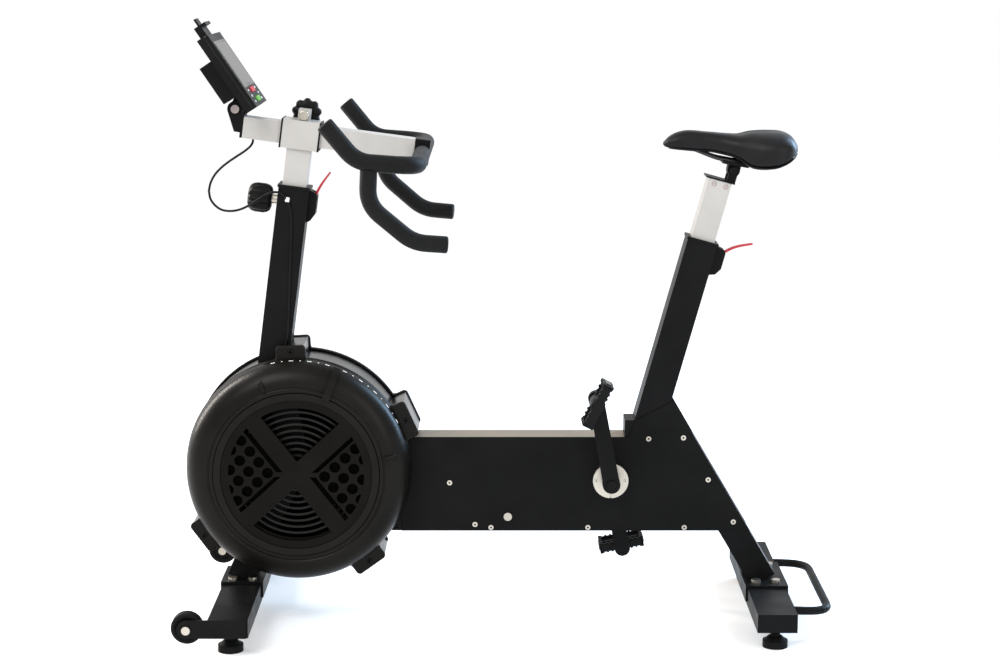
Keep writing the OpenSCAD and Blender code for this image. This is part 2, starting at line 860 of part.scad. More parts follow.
// Block on a tube's rear face: two ears with a pin for the cam lever; h tall and d deep
module clamp_block(h, d, pin_x) {
    difference() {
        slab(-16, 16) polygon([[0, 0], [d - 4, -4], [d, -10], [d, -h * 0.7], [d - 8, -h * 0.92], [0, -h]]);
        translate([pin_x - 6, -6, lever_z - 20]) cube([d, 12, 50]);
    }
    rod_y([pin_x, lever_z], -15, 15, 2);
}

// Cam lever on a tube's clamp block: a hub between the ears and a blade at an angle above the tube's
// square, l long and bent by `bend`
module cam_lever(x, a, l, bend) {
    outer = [for (i = [0 : 8]) [l * i / 8, bend * sin(22.5 * i) + 2.4]];
    inner = [for (i = [8 : -1 : 0]) [l * i / 8, bend * sin(22.5 * i) - 2.4]];
    translate([tube_d / 2 + x, 0, lever_z]) rotate([0, -a, 0]) difference() {
        union() {
            rod_y([0, 0], -5.5, 5.5, 4.5);
            slab(-5.5, 5.5) polygon(concat(outer, inner));
        }
        rod_y([0, 0], -8, 8, 2.06);
    }
}

module post_lever() {
    color("#c4162c") lean(post_top, post_lean) cam_lever(post_lever_x, 62, 58, 3);
}

// Lobed clamping knob on a screw through the post's front face
module post_knob() {
    color("#18191b") lean(post_top, post_lean) translate([-tube_d / 2, 0, knob_z]) rotate([0, -90, 0]) {
        translate([0, 0, 13]) lobed_knob(knob_r, 44, 9);
        translate([0, 0, 0.3]) cylinder(h = 12.7, r = 10);
        translate([0, 0, -5]) cylinder(h = 5.3, r = 5);
    }
}

// Sliding upright with the welded sleeve that guides the stem, and its two clamp ears
module handlebar_slider() {
    color("#cfccc6") {
        lean(sleeve_c, post_lean) {
            box_tube(slider_d, slider_w, 2.5, -290, -sleeve_h / 2 + 1);
            difference() {
                box(sleeve_l, slider_w + 12, -sleeve_h / 2, sleeve_h / 2);
                translate([-60, -slider_w / 2 - FIT, -stem_h / 2 - FIT])
                    cube([120, slider_w + 2 * FIT, stem_h + 2 * FIT]);
            }
            for (y = [-18, 6]) difference() {
                translate([-9, y, sleeve_h / 2 - 1]) cube([22, 10, 22]);
                rod_y(pinch, y - 1, y + 11, 4.06);
            }
        }
    }
}

// Pinch bolt across the sleeve's ears, with the lobed knob on its far end
module stem_knob() {
    color("#18191b") lean(sleeve_c, post_lean) {
        rod_y(pinch, -26, 34, 4);
        rod_y(pinch, -27, -18.3, 9.5);
        translate([pinch[0], 31.6, pinch[1]]) rotate([-90, 0, 0]) lobed_knob(knob_r, 22, 9);
    }
}

// Fore-and-aft stem tube with the clamp for the handlebar on its rear end
module stem() {
    rear = stem_front + stem_len;
    color("#d3d0ca") lean(sleeve_c, post_lean) {
        difference() {
            translate([stem_front, -slider_w / 2, -stem_h / 2]) cube([stem_len, slider_w, stem_h]);
            translate([stem_front - 1, -slider_w / 2 + 2.5, -stem_h / 2 + 2.5])
                cube([stem_len + 2, slider_w - 5, stem_h - 5]);
            translate([stem_front + 20, -6, -stem_h / 2 - 5]) cylinder(h = 10, r = 4);
        }
        difference() {
            translate([rear, -slider_w / 2 - 1, -stem_h / 2 - 6]) cube([29, slider_w + 2, stem_h + 8]);
            rod_y([rear + bar_seat[0], bar_seat[1]], -50, 50, bar_r + 0.4);
        }
    }
}

// Main handlebar: the cross-bar, the side bars and the raised front grips
bar_main = eased([[-324, -bar_half - 3, 980], [-268, -bar_half, 912], [-159.8, -bar_half + 2, 904],
                  [-159.8, bar_half - 2, 904], [-268, bar_half, 912], [-324, bar_half + 3, 980]],
                 [26, 48, 48, 26], 7);

// One dropped rear grip, on the side given by s
function bar_drop(s) = eased([[-246, s * (bar_half - 2), 899], [-249, s * (bar_half - 6), 835],
                              [-168, s * (bar_half - 14), 766], [-106, s * (bar_half - 20), 761]],
                             [30, 24], 7);

// The same route with both ends moved along the path: inwards for a core, or down from the side bar
function trimmed(p, start, end) = concat([p[0] + start * unit(p[1] - p[0])],
    [for (i = [1 : len(p) - 2]) p[i]],
    [p[len(p) - 1] - end * unit(p[len(p) - 1] - p[len(p) - 2])]);

module handlebar() {
    color("#5a5c60") {
        sweep(trimmed(bar_main, 3, 3), bar_r, [0, 0, 1], 12);
        for (s = [-1, 1]) sweep(trimmed(bar_drop(s), -6, 3), bar_r, [0, 1, 0], 12);
    }
}

// Foam sleeves over the whole handlebar, closed at their outer ends: one on each half of the main bar,
// and one on each dropped grip that ends just short of it
module grips() {
    color("#333436") {
        difference() {
            sweep(bar_main, grip_r, [0, 0, 1], 16);
            translate([-190, -27, 850]) cube([90, 54, 110]);
            handlebar_core();
        }
        for (s = [-1, 1]) difference() {
            sweep(trimmed(bar_drop(s), -2, 0), grip_r - 0.5, [0, 1, 0], 16);
            sweep(bar_main, grip_r + 0.3, [0, 0, 1], 16);
            handlebar_core();
        }
    }
}

// Space inside the foam for the steel tubes
module handlebar_core() {
    sweep(trimmed(bar_main, 2.9, 2.9), bar_r + 0.02, [0, 0, 1], 12);
    for (s = [-1, 1]) sweep(trimmed(bar_drop(s), -7, 2.9), bar_r + 0.02, [0, 1, 0], 12);
}

// ---------- console ----------

// Moves children into the console's own frame: +Z up its back, +X out through its face
module on_console() {
    lean(console_foot, console_lean) children();
}

// Bracket on the stem's front end, with two ears round the console's hinge pin
module console_bracket() {
    color("#1b1c1f") difference() {
        union() {
            lean(sleeve_c, post_lean) translate([stem_front - 5, -slider_w / 2, -stem_h / 2])
                cube([5, slider_w, stem_h + 4]);
            for (y = [-slider_w / 2, slider_w / 2 - 7]) slab(y, y + 7) union() {
                translate(console_hinge) circle(r = 15);
                polygon([[-502, 944], [-514, 946], [-525, 984], [-496, 986], [-497, 974]]);
            }
        }
        rod_y(console_hinge, -40, 40, 4.06);
    }
}

// Rear housing of the console with its battery box and hinge lug, on the hinge pin
module console_back() {
    w = console_w;
    color("#222326") {
        on_console() difference() {
            union() {
                translate([0, -w / 2, 0]) cube([15, w, 160]);
                translate([-31, -48, 38]) cube([32, 96, 79]);
            }
            translate([2.5, -w / 2 + 2.5, 2.5]) cube([20, w - 5, 155]);
            translate([-28.5, -45.5, 40.5]) cube([32, 91, 74]);
            translate([3.7, -6.3, 150]) cube([6.6, 12.6, 20]);
        }
        difference() {
            slab(-17.5, 17.5) union() {
                translate(console_hinge) circle(r = 13);
                polygon([polar(console_hinge, 12, 140), polar(console_hinge, 12, -50), [-487, 992],
                         [-507, 1021]]);
            }
            rod_y(console_hinge, -40, 40, 3.98);
        }
        rod_y(console_hinge, -slider_w / 2 - 2, slider_w / 2 + 2, 4);
        both_sides() rod_y(console_hinge, slider_w / 2 + 0.1, slider_w / 2 + 5.1, 8);
    }
}

// Front bezel with the display window and the key openings
module console_front() {
    w = console_w;
    color("#2a2b2e") on_console() difference() {
        translate([15.05, -w / 2, 0]) cube([8, w, 158]);
        translate([18, -w / 2 + 14, 44]) cube([10, w - 28, 96]);
        for (k = [stop_key, start_key]) key_solid(k, 0.5, 10, 30);
    }
}

// The body of a key, grown by e on its sides, from x0 to x1 out of the console's back
module key_solid(k, e, x0, x1) {
    translate([x0, -k[1] - e, k[0] - e]) cube([x1 - x0, 2 * (k[1] + e), k[2] + 2 * e]);
}

// Display glass in the bezel's window
module console_screen() {
    w = console_w;
    color("#6f7364") on_console() translate([18.1, -w / 2 + 14.2, 44.2]) cube([2.5, w - 28.4, 95.6]);
}

module key_stop() {
    color("#c8202a") on_console() key_solid(stop_key, 0, 17, 25);
}

module key_start() {
    color("#6fbf3a") on_console() key_solid(start_key, 0, 17, 25);
}

// Spring-loaded phone clip on the console's top edge
module phone_clip() {
    color("#2a2b2e") on_console() {
        translate([1, -34, 160.2]) cube([14, 68, 22]);
        translate([1, -34, 178]) cube([24, 68, 6]);
        translate([4, -6, 60]) cube([6, 12, 101]);
        translate([8, -20, 183]) cube([4, 40, 16]);
    }
}

module console_cable_upper() {
    color("#151515") sweep(CABLE_UPPER, cable_r, [0, 1, 0], 8);
}

// Cable from the loop's far side to the post's clip and down the post's near face
module console_cable_lower() {
    color("#151515") sweep(concat(CABLE_LOWER, [for (i = [1 : len(CABLE_POST) - 1]) CABLE_POST[i]]),
                           cable_r, [0, 1, 0], 8);
}

// ---------- seat ----------

// Collar in the seat tube's mouth, with its block for the lever behind
module seat_clamp() {
    color("#1b1c1f") lean(seat_top, seat_lean) {
        guide_collar();
        translate([tube_d / 2 + EPS, 0, 0]) clamp_block(58, 21, seat_lever_x);
    }
}

module seat_lever() {
    color("#b3323a") lean(seat_top, seat_lean) cam_lever(seat_lever_x, 33, 62, 5);
}

// Sliding seat tube with the welded plate that the clamp head stands on
module seat_slider() {
    color("#cfccc6") lean(seat_top, seat_lean) {
        box_tube(slider_d, slider_w, 2.5, -260, 122);
        box(56, slider_w + 4, 121.9, 125);
        for (y = [-20, 14]) difference() {
            union() {
                translate([clamp_local[0] - 8.5, y, 124.9]) cube([17, 6, clamp_local[1] - 124.9]);
                rod_y(clamp_local, y, y + 6, 8.5);
            }
            rod_y(clamp_local, y - 1, y + 7, 5.06);
        }
    }
}

// Tilting clamp head on its cross bolt, with a groove on each side for the rails
module saddle_clamp() {
    color("#1b1c1f") lean(clamp_c, rail_tilt) difference() {
        union() {
            rod_y([0, 0], -13.5, 13.5, 12);
            box(24, 27, 2, 12);
            box(50, 58, 10.8, 17.6);
            rod_y([0, 0], -23, 23, 5);
            for (s = [-1, 1]) rod_y([0, 0], s * 23 - 2.5, s * 23 + 2.5, 8);
        }
        for (s = [-1, 1]) translate([-40, s * rail_y, 17.8]) rotate([0, 90, 0]) cylinder(h = 80, r = 3.6);
    }
}

// A point in the clamp head's own frame, in the bike's X and Z
function on_clamp(x, z) = clamp_c + [x * cos(rail_tilt) + z * sin(rail_tilt),
                                     z * cos(rail_tilt) - x * sin(rail_tilt)];

// Two steel rails that run under the saddle, straight through the clamp
module saddle_rails() {
    a = on_clamp(-38, 17.8);
    b = on_clamp(38, 17.8);
    for (s = [-1, 1]) color("#8d9094")
        sweep(eased([[350, s * 12, 913], [a[0], s * rail_y, a[1]], [b[0], s * rail_y, b[1]],
                     [507, s * 36, 910]], [12, 12], 5), 3.5, [0, 1, 0], 12);
}

// Half width of the saddle at a distance x from its nose
function saddle_half(x) = let (t = x / saddle_len) 27 + (saddle_w / 2 - 27) / (1 + exp(-(t - 0.58) * 13));

// How far the saddle's ends are rounded in at a distance x from its nose, from 0 to 1
function end_share(x) = sqrt(max(0, 1 - pow(max(0, (18 - x) / 18), 2)))
    * sqrt(max(0, 1 - pow(max(0, (x - 214) / 37), 2)));

// Plan of the saddle, drawn in by e, between two distances from the nose
function saddle_plan(e, x0, x1) = let (n = 14, pts = [for (i = [0 : n]) let (x = x0 + (x1 - x0) * i / n)
        [saddle_nose + x, (saddle_half(x) - e) * max(0.25, end_share(x))]])
    concat(pts, [for (i = [n : -1 : 0]) [pts[i][0], -pts[i][1]]]);

// Hard shell under the cushion, open below, with the rails' ends let into it
module saddle_base() {
    color("#1b1c1f") difference() {
        intersection() {
            translate([0, 0, 870]) linear_extrude(48) polygon(saddle_plan(5, 5, saddle_len - 4));
            slab(-saddle_w, saddle_w) polygon([[290, 918], [308, 913], [356, 909], [384, 909], [428, 899],
                [445, 891], [454, 880], [472, 876], [511, 880], [546, 900], [550, 918]]);
        }
        translate([0, 0, 860]) linear_extrude(48) polygon(saddle_plan(13, 20, saddle_len - 14));
    }
}

module saddle_cushion() {
    color("#2b2c2f") intersection() {
        translate([0, 0, 918]) linear_extrude(30) polygon(saddle_plan(0, 0, saddle_len));
        slab(-saddle_w, saddle_w) polygon(concat([[290, 917], [297, 926]],
            [for (i = [0 : 6]) let (a = 90 * i / 6) [305 + 34 * sin(a), 930 + 17 * sin(a)]],
            [[400, 944], [450, 941], [500, 946], [522, 945], [543, 930], [549, 917]]));
    }
}

front_post();
front_fork();
main_beam();
seat_tube();
rear_leg();
side_panel_left();
side_panel_right();
frame_fasteners();
front_stabiliser();
rear_stabiliser();
transport_wheel_left();
transport_wheel_right();
foot_front_left();
foot_front_right();
foot_rear_left();
foot_rear_right();
fan_shell_left();
fan_shell_right();
fan_band();
fan_grilles();
fan_guards();
damper_ring();
fan_wheel();
fan_pulley();
fan_axle();
bearings();
bearing_housings();
crank_axle();
crank_left();
crank_right();
crank_pulley();
drive_belt();
belt_idler();
pedal_spindles();
pedal_left();
pedal_right();
post_clamp();
post_lever();
post_knob();
handlebar_slider();
stem();
stem_knob();
handlebar();
grips();
console_bracket();
console_back();
console_front();
console_screen();
key_stop();
key_start();
phone_clip();
console_cable_upper();
console_cable_lower();
seat_clamp();
seat_lever();
seat_slider();
saddle_clamp();
saddle_rails();
saddle_base();
saddle_cushion();
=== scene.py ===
import json
import math
import bmesh
import bpy
from mathutils import Matrix, Vector


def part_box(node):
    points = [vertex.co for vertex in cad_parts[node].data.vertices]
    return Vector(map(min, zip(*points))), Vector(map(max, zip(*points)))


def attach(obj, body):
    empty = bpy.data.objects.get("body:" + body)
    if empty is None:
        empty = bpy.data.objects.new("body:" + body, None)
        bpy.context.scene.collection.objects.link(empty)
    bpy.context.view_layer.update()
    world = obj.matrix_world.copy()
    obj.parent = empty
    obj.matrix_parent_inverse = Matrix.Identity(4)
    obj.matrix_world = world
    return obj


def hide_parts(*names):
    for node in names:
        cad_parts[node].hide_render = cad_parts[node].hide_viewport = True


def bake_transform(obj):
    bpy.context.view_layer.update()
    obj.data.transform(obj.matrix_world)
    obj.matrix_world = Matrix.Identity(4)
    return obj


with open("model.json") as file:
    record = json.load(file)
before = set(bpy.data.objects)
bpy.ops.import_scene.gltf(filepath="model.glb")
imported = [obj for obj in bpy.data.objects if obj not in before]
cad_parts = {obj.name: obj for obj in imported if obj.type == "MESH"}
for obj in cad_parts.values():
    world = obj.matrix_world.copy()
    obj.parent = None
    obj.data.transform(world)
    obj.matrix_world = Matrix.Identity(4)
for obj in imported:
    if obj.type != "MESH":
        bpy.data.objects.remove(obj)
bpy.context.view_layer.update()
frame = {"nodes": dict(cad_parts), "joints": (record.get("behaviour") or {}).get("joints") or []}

MM = 0.001
JOINTS = {j["name"]: j for j in frame["joints"]}
NODES = frame["nodes"]


# ---------- places taken from the frame ----------

def pivot(joint):
    return Vector(JOINTS[joint]["pos_m"])


def direction(joint):
    return Vector(JOINTS[joint]["axis"]).normalized()


def corner(node, x=0.5, y=0.5, z=0.5):
    """A point of a node's box, each fraction running from its low side, 0, to its high side, 1."""
    low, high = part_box(node)
    return Vector(low[i] + (high[i] - low[i]) * t for i, t in enumerate((x, y, z)))


FAN = pivot("fan_spin")
POST_UP = direction("handlebar_height")
STEM_BACK = direction("stem_slide")
SEAT_UP = direction("seat_height")
CONSOLE_OUT = -direction("key_stop_press")
CONSOLE_UP = direction("phone_clip_slide")
SIDE = Vector((0, 1, 0))


def axes_matrix(origin, x, y, z):
    """Moves a piece made round the origin to a place whose own X, Y and Z lie along the given axes."""
    rows = [[x[i], y[i], z[i], origin[i]] for i in range(3)]
    return Matrix(rows + [[0, 0, 0, 1]])


# ---------- materials ----------

def new_material(name):
    mat = bpy.data.materials.new(name)
    mat.use_nodes = True
    return mat, mat.node_tree.nodes, mat.node_tree.links, mat.node_tree.nodes["Principled BSDF"]


def add_noise(nodes, links, scale, detail=3.0, kind="ShaderNodeTexNoise"):
    """A 3D texture in the piece's own coordinates, with its scale in cycles per metre."""
    coords = nodes.new("ShaderNodeTexCoord")
    tex = nodes.new(kind)
    tex.inputs["Scale"].default_value = scale
    if kind == "ShaderNodeTexNoise":
        tex.inputs["Detail"].default_value = detail
    links.new(coords.outputs["Object"], tex.inputs["Vector"])
    return tex


def add_range(nodes, links, source, low, high):
    """Maps a texture's 0.3 to 0.7 to a range of values."""
    node = nodes.new("ShaderNodeMapRange")
    node.inputs["From Min"].default_value = 0.3
    node.inputs["From Max"].default_value = 0.7
    node.inputs["To Min"].default_value = low
    node.inputs["To Max"].default_value = high
    links.new(source, node.inputs["Value"])
    return node.outputs["Result"]


def add_colours(nodes, links, source, dark, light):
    ramp = nodes.new("ShaderNodeValToRGB")
    ramp.color_ramp.elements[0].position = 0.3
    ramp.color_ramp.elements[0].color = (*dark, 1)
    ramp.color_ramp.elements[1].position = 0.7
    ramp.color_ramp.elements[1].color = (*light, 1)
    links.new(source, ramp.inputs["Fac"])
    return ramp.outputs["Color"]


def add_bump(nodes, links, source, distance, strength=0.6):
    bump = nodes.new("ShaderNodeBump")
    bump.inputs["Distance"].default_value = distance
    bump.inputs["Strength"].default_value = strength
    links.new(source, bump.inputs["Height"])
    return bump.outputs["Normal"]


def finish_material(name, dark, light, rough, metal=0.0, grain=(900, 0.00004), patch=14,
                    coat=0.0, coat_rough=0.1, sheen=0.0, specular=0.5):
    """A finish with slow changes of colour and roughness, and a fine grain in relief."""
    mat, nodes, links, shader = new_material(name)
    slow = add_noise(nodes, links, patch)
    fine = add_noise(nodes, links, grain[0], 2.0)
    links.new(add_colours(nodes, links, slow.outputs["Fac"], dark, light), shader.inputs["Base Color"])
    links.new(add_range(nodes, links, slow.outputs["Fac"], *rough), shader.inputs["Roughness"])
    links.new(add_bump(nodes, links, fine.outputs["Fac"], grain[1]), shader.inputs["Normal"])
    shader.inputs["Metallic"].default_value = metal
    shader.inputs["Coat Weight"].default_value = coat
    shader.inputs["Coat Roughness"].default_value = coat_rough
    shader.inputs["Sheen Weight"].default_value = sheen
    shader.inputs["Specular IOR Level"].default_value = specular
    return mat


def leather_material():
    """Synthetic leather: fine pebbles in relief, worn a little smoother in patches."""
    mat, nodes, links, shader = new_material("saddle_leather")
    pebbles = add_noise(nodes, links, 620, kind="ShaderNodeTexVoronoi")
    slow = add_noise(nodes, links, 22)
    dark, light = (0.0035, 0.0035, 0.0038), (0.0065, 0.0065, 0.007)
    links.new(add_colours(nodes, links, slow.outputs["Fac"], dark, light), shader.inputs["Base Color"])
    links.new(add_range(nodes, links, slow.outputs["Fac"], 0.36, 0.5), shader.inputs["Roughness"])
    links.new(add_bump(nodes, links, pebbles.outputs["Distance"], 0.00012, 0.5), shader.inputs["Normal"])
    shader.inputs["Sheen Weight"].default_value = 0.02
    shader.inputs["Specular IOR Level"].default_value = 0.16
    return mat


def display_material():
    """Liquid-crystal glass: dark olive with slow changes of tone, under a thin clear coat."""
    mat, nodes, links, shader = new_material("display_glass")
    slow = add_noise(nodes, links, 18)
    links.new(add_colours(nodes, links, slow.outputs["Fac"], (0.014, 0.0135, 0.009), (0.026, 0.025, 0.017)),
              shader.inputs["Base Color"])
    shader.inputs["Roughness"].default_value = 0.25
    shader.inputs["Specular IOR Level"].default_value = 0.2
    shader.inputs["Coat Weight"].default_value = 0.15
    return mat


POWDER = finish_material("powder_black", (0.0033, 0.0033, 0.0034), (0.0055, 0.0055, 0.0057), (0.36, 0.5),
                         grain=(1500, 0.00005), specular=0.075)
PANEL = finish_material("panel_black", (0.004, 0.004, 0.004), (0.0062, 0.0062, 0.0063), (0.42, 0.54),
                        grain=(1300, 0.00004), specular=0.055)
HOUSING = finish_material("housing_plastic", (0.0034, 0.0029, 0.0022), (0.0058, 0.005, 0.0038),
                          (0.3, 0.4), grain=(1100, 0.00006), specular=0.11)
GRILLE = finish_material("grille_plastic", (0.003, 0.0026, 0.002), (0.0052, 0.0045, 0.0035), (0.38, 0.48),
                         grain=(1100, 0.00006), specular=0.06)
GUARD = finish_material("guard_wire", (0.005, 0.0045, 0.0035), (0.008, 0.007, 0.006), (0.34, 0.46),
                        specular=0.16)
# Painted shade: a near-black matte finish, darker than every other black here, standing for the shade inside
# the fan housing on the fan, its pulley and the damper ring's inner part
PAINTED_SHADE = finish_material("housing_inside_shade", (0.0009, 0.0008, 0.0007), (0.0015, 0.0013, 0.001), (0.6, 0.7),
                        specular=0.02)
BAND = finish_material("band_plastic", (0.004, 0.004, 0.004), (0.0065, 0.0065, 0.007), (0.2, 0.3),
                       specular=0.4)
MOULDED = finish_material("moulded_black", (0.003, 0.003, 0.003), (0.006, 0.006, 0.006), (0.36, 0.5),
                          grain=(800, 0.00007), specular=0.1)
SILVER = finish_material("silver_paint", (0.385, 0.37, 0.35), (0.43, 0.415, 0.395), (0.36, 0.46),
                         metal=0.15, grain=(2200, 0.00003), coat=0.08, coat_rough=0.25, specular=0.25)
STEEL = finish_material("zinc_steel", (0.34, 0.31, 0.265), (0.56, 0.52, 0.45), (0.24, 0.38), metal=1.0,
                        grain=(700, 0.00003))
RAIL = finish_material("rail_steel", (0.02, 0.02, 0.022), (0.04, 0.04, 0.043), (0.25, 0.36), metal=0.6,
                       specular=0.4)
ALLOY = finish_material("cast_alloy", (0.12, 0.12, 0.125), (0.2, 0.2, 0.205), (0.35, 0.5), metal=1.0)
RIVET = finish_material("aged_rivet", (0.30, 0.25, 0.24), (0.42, 0.36, 0.34), (0.3, 0.42), metal=0.8)
FOAM = finish_material("grip_foam", (0.0045, 0.0045, 0.0045), (0.008, 0.008, 0.008), (0.56, 0.7),
                       grain=(520, 0.0003), sheen=0.04, specular=0.09)
RUBBER = finish_material("moulded_rubber", (0.0035, 0.0035, 0.0035), (0.0075, 0.0075, 0.0075),
                         (0.5, 0.66), grain=(600, 0.00012), specular=0.08)
RED = finish_material("lever_red", (0.34, 0.006, 0.014), (0.42, 0.01, 0.022), (0.26, 0.34), coat=0.2,
                      specular=0.3)
KEY_RED = finish_material("key_red", (0.36, 0.01, 0.02), (0.46, 0.02, 0.03), (0.35, 0.45), specular=0.2)
KEY_GREEN = finish_material("key_green", (0.06, 0.22, 0.02), (0.1, 0.32, 0.035), (0.35, 0.45),
                            specular=0.2)
WHITE = finish_material("print_white", (0.62, 0.62, 0.60), (0.72, 0.72, 0.70), (0.4, 0.5))
# Painted reflection: a warm tan for the beam's upward faces, in place of the warm light they reflect
PAINTED_BEAM_REFLECTION = finish_material("beam_top_painted_reflection", (0.125, 0.1, 0.07), (0.18, 0.145, 0.105), (0.3, 0.42),
                           specular=0.2)
JACKET = finish_material("cable_jacket", (0.003, 0.003, 0.003), (0.006, 0.006, 0.006), (0.35, 0.45),
                         specular=0.12)
LEATHER = leather_material()
DISPLAY = display_material()

NODE_FINISH = {
    POWDER: ["front_post", "front_fork", "main_beam", "seat_tube", "rear_leg", "front_stabiliser",
             "rear_stabiliser", "crank_left", "crank_right", "crank_axle", "pedal_spindles",
             "console_bracket", "post_clamp", "seat_clamp", "saddle_clamp"],
    PANEL: ["side_panel_left", "side_panel_right"],
    HOUSING: ["damper_ring"],
    GUARD: ["fan_guards"],
    GRILLE: ["fan_grilles"],
    BAND: ["fan_band"],
    SILVER: ["handlebar_slider", "stem", "seat_slider"],
    STEEL: ["frame_fasteners", "bearings", "bearing_housings", "fan_axle"],
    RAIL: ["saddle_rails", "handlebar"],
    ALLOY: ["crank_pulley"],
    # The fan and its pulley take the painted shade of the housing's inside
    PAINTED_SHADE: ["fan_wheel", "fan_pulley"],
    MOULDED: ["console_back", "console_front", "phone_clip", "belt_idler", "pedal_left", "pedal_right"],
    RUBBER: ["foot_front_left", "foot_front_right", "foot_rear_left", "foot_rear_right", "drive_belt",
             "transport_wheel_left", "transport_wheel_right"],
    DISPLAY: ["console_screen"],
    KEY_RED: ["key_stop"],
    KEY_GREEN: ["key_start"],
}

# Edge radius, in millimetres, of each CAD node that shows
EDGE_RADII = {
    2.5: ["front_post", "seat_tube", "rear_leg", "handlebar_slider", "seat_slider", "stem"],
    2.0: ["front_stabiliser", "rear_stabiliser", "main_beam", "crank_left", "crank_right", "foot_front_left",
          "foot_front_right", "foot_rear_left", "foot_rear_right", "fan_band"],
    1.2: ["front_fork", "post_clamp", "seat_clamp", "console_back", "console_front", "console_bracket",
          "saddle_clamp", "key_stop", "key_start", "phone_clip", "damper_ring"],
    0.7: ["side_panel_left", "side_panel_right", "fan_grilles", "fan_guards", "frame_fasteners",
          "bearing_housings", "console_screen"],
}


def round_edges(obj, radius, angle=35):
    """Soft edges on a hard-edged piece, with smooth shading that keeps its flats flat."""
    for face in obj.data.polygons:
        face.use_smooth = True
    bevel = obj.modifiers.new("edges", "BEVEL")
    bevel.width = radius
    bevel.segments = 3
    bevel.limit_method = "ANGLE"
    bevel.angle_limit = math.radians(angle)
    bevel.harden_normals = True


def dress_cad_nodes():
    for material, names in NODE_FINISH.items():
        for name in names:
            data = NODES[name].data
            data.materials.clear()
            data.materials.append(material)
    for radius, names in EDGE_RADII.items():
        for name in names:
            round_edges(NODES[name], radius * MM)


# ---------- making pieces ----------

def link_mesh(name, mesh, body, material):
    obj = bpy.data.objects.new(name, mesh)
    bpy.context.scene.collection.objects.link(obj)
    mesh.materials.append(material)
    if body:
        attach(obj, body)
    return obj


def smooth(mesh):
    for face in mesh.polygons:
        face.use_smooth = True
    return mesh


def grid_mesh(name, rings, close_ends=True):
    """A closed skin over rings of points that all have the same count."""
    bm = bmesh.new()
    rows = [[bm.verts.new(p) for p in ring] for ring in rings]
    count = len(rows[0])
    for low, high in zip(rows, rows[1:]):
        for i in range(count):
            j = (i + 1) % count
            bm.faces.new((low[i], low[j], high[j], high[i]))
    if close_ends:
        bm.faces.new(rows[0][::-1])
        bm.faces.new(rows[-1])
    bmesh.ops.recalc_face_normals(bm, faces=bm.faces)
    mesh = bpy.data.meshes.new(name)
    bm.to_mesh(mesh)
    bm.free()
    return smooth(mesh)


def lathe(name, centre, profile, steps=128, closed=True):
    """A profile of (radius, distance along Y) turned about an axis through centre, along Y."""
    rings = []
    for radius, y in profile:
        ring = []
        for k in range(steps):
            a = 2 * math.pi * k / steps
            ring.append((centre[0] + radius * math.cos(a), centre[1] + y, centre[2] + radius * math.sin(a)))
        rings.append(ring)
    if closed:
        rings.append(rings[0])
    mesh = grid_mesh(name, rings, close_ends=not closed)
    if closed:
        weld(mesh)
    return mesh


def weld(mesh):
    bm = bmesh.new()
    bm.from_mesh(mesh)
    bmesh.ops.remove_doubles(bm, verts=bm.verts, dist=1e-6)
    bmesh.ops.recalc_face_normals(bm, faces=bm.faces)
    bm.to_mesh(mesh)
    bm.free()


def prism(name, outline, depth, matrix):
    """An outline in X and Z, centred on the middle plane and depth thick, moved by a matrix."""
    bm = bmesh.new()
    near = [bm.verts.new(matrix @ Vector((x, -depth / 2, z))) for x, z in outline]
    far = [bm.verts.new(matrix @ Vector((x, depth / 2, z))) for x, z in outline]
    bm.faces.new(near)
    bm.faces.new(far[::-1])
    for i in range(len(outline)):
        j = (i + 1) % len(outline)
        bm.faces.new((near[j], near[i], far[i], far[j]))
    bmesh.ops.recalc_face_normals(bm, faces=bm.faces)
    mesh = bpy.data.meshes.new(name)
    bm.to_mesh(mesh)
    bm.free()
    return mesh


def join_meshes(name, meshes):
    bm = bmesh.new()
    for mesh in meshes:
        bm.from_mesh(mesh)
    joined = bpy.data.meshes.new(name)
    bm.to_mesh(joined)
    bm.free()
    return joined


def eased(points, reach, steps=14):
    """A polyline with each inner corner eased by a curve that starts reach before it."""
    path = [Vector(points[0])]
    for i in range(1, len(points) - 1):
        corner_point = Vector(points[i])
        a = corner_point + (Vector(points[i - 1]) - corner_point).normalized() * reach[i - 1]
        b = corner_point + (Vector(points[i + 1]) - corner_point).normalized() * reach[i - 1]
        for k in range(steps + 1):
            t = k / steps
            path.append(a * (1 - t) ** 2 + corner_point * 2 * t * (1 - t) + b * t * t)
    path.append(Vector(points[-1]))
    return path


def splined(points, steps=6):
    """A smooth curve through every point."""
    p = [Vector(q) for q in points]
    p = [2 * p[0] - p[1]] + p + [2 * p[-1] - p[-2]]
    path = []
    for i in range(1, len(p) - 2):
        for k in range(steps):
            t = k / steps
            path.append(0.5 * (2 * p[i] + (p[i + 1] - p[i - 1]) * t
                               + (2 * p[i - 1] - 5 * p[i] + 4 * p[i + 1] - p[i + 2]) * t * t
                               + (3 * p[i] - p[i - 1] - 3 * p[i + 1] + p[i + 2]) * t ** 3))
    path.append(p[-2])
    return path


def tube(name, path, radii, sides=24):
    """A round tube along a path, with one radius or one for each point; its frame is carried along."""
    count = len(path)
    if not isinstance(radii, (list, tuple)):
        radii = [radii] * count
    tangent = (path[1] - path[0]).normalized()
    across = tangent.cross(SIDE if abs(tangent.y) < 0.9 else Vector((0, 0, 1))).normalized()
    rings = []
    for i, point in enumerate(path):
        ahead = (path[min(i + 1, count - 1)] - path[max(i - 1, 0)]).normalized()
        across = (across - ahead * across.dot(ahead)).normalized()
        up = ahead.cross(across)
        rings.append([point + radii[i] * (across * math.cos(2 * math.pi * k / sides)
                                          + up * math.sin(2 * math.pi * k / sides)) for k in range(sides)])
    return grid_mesh(name, rings)


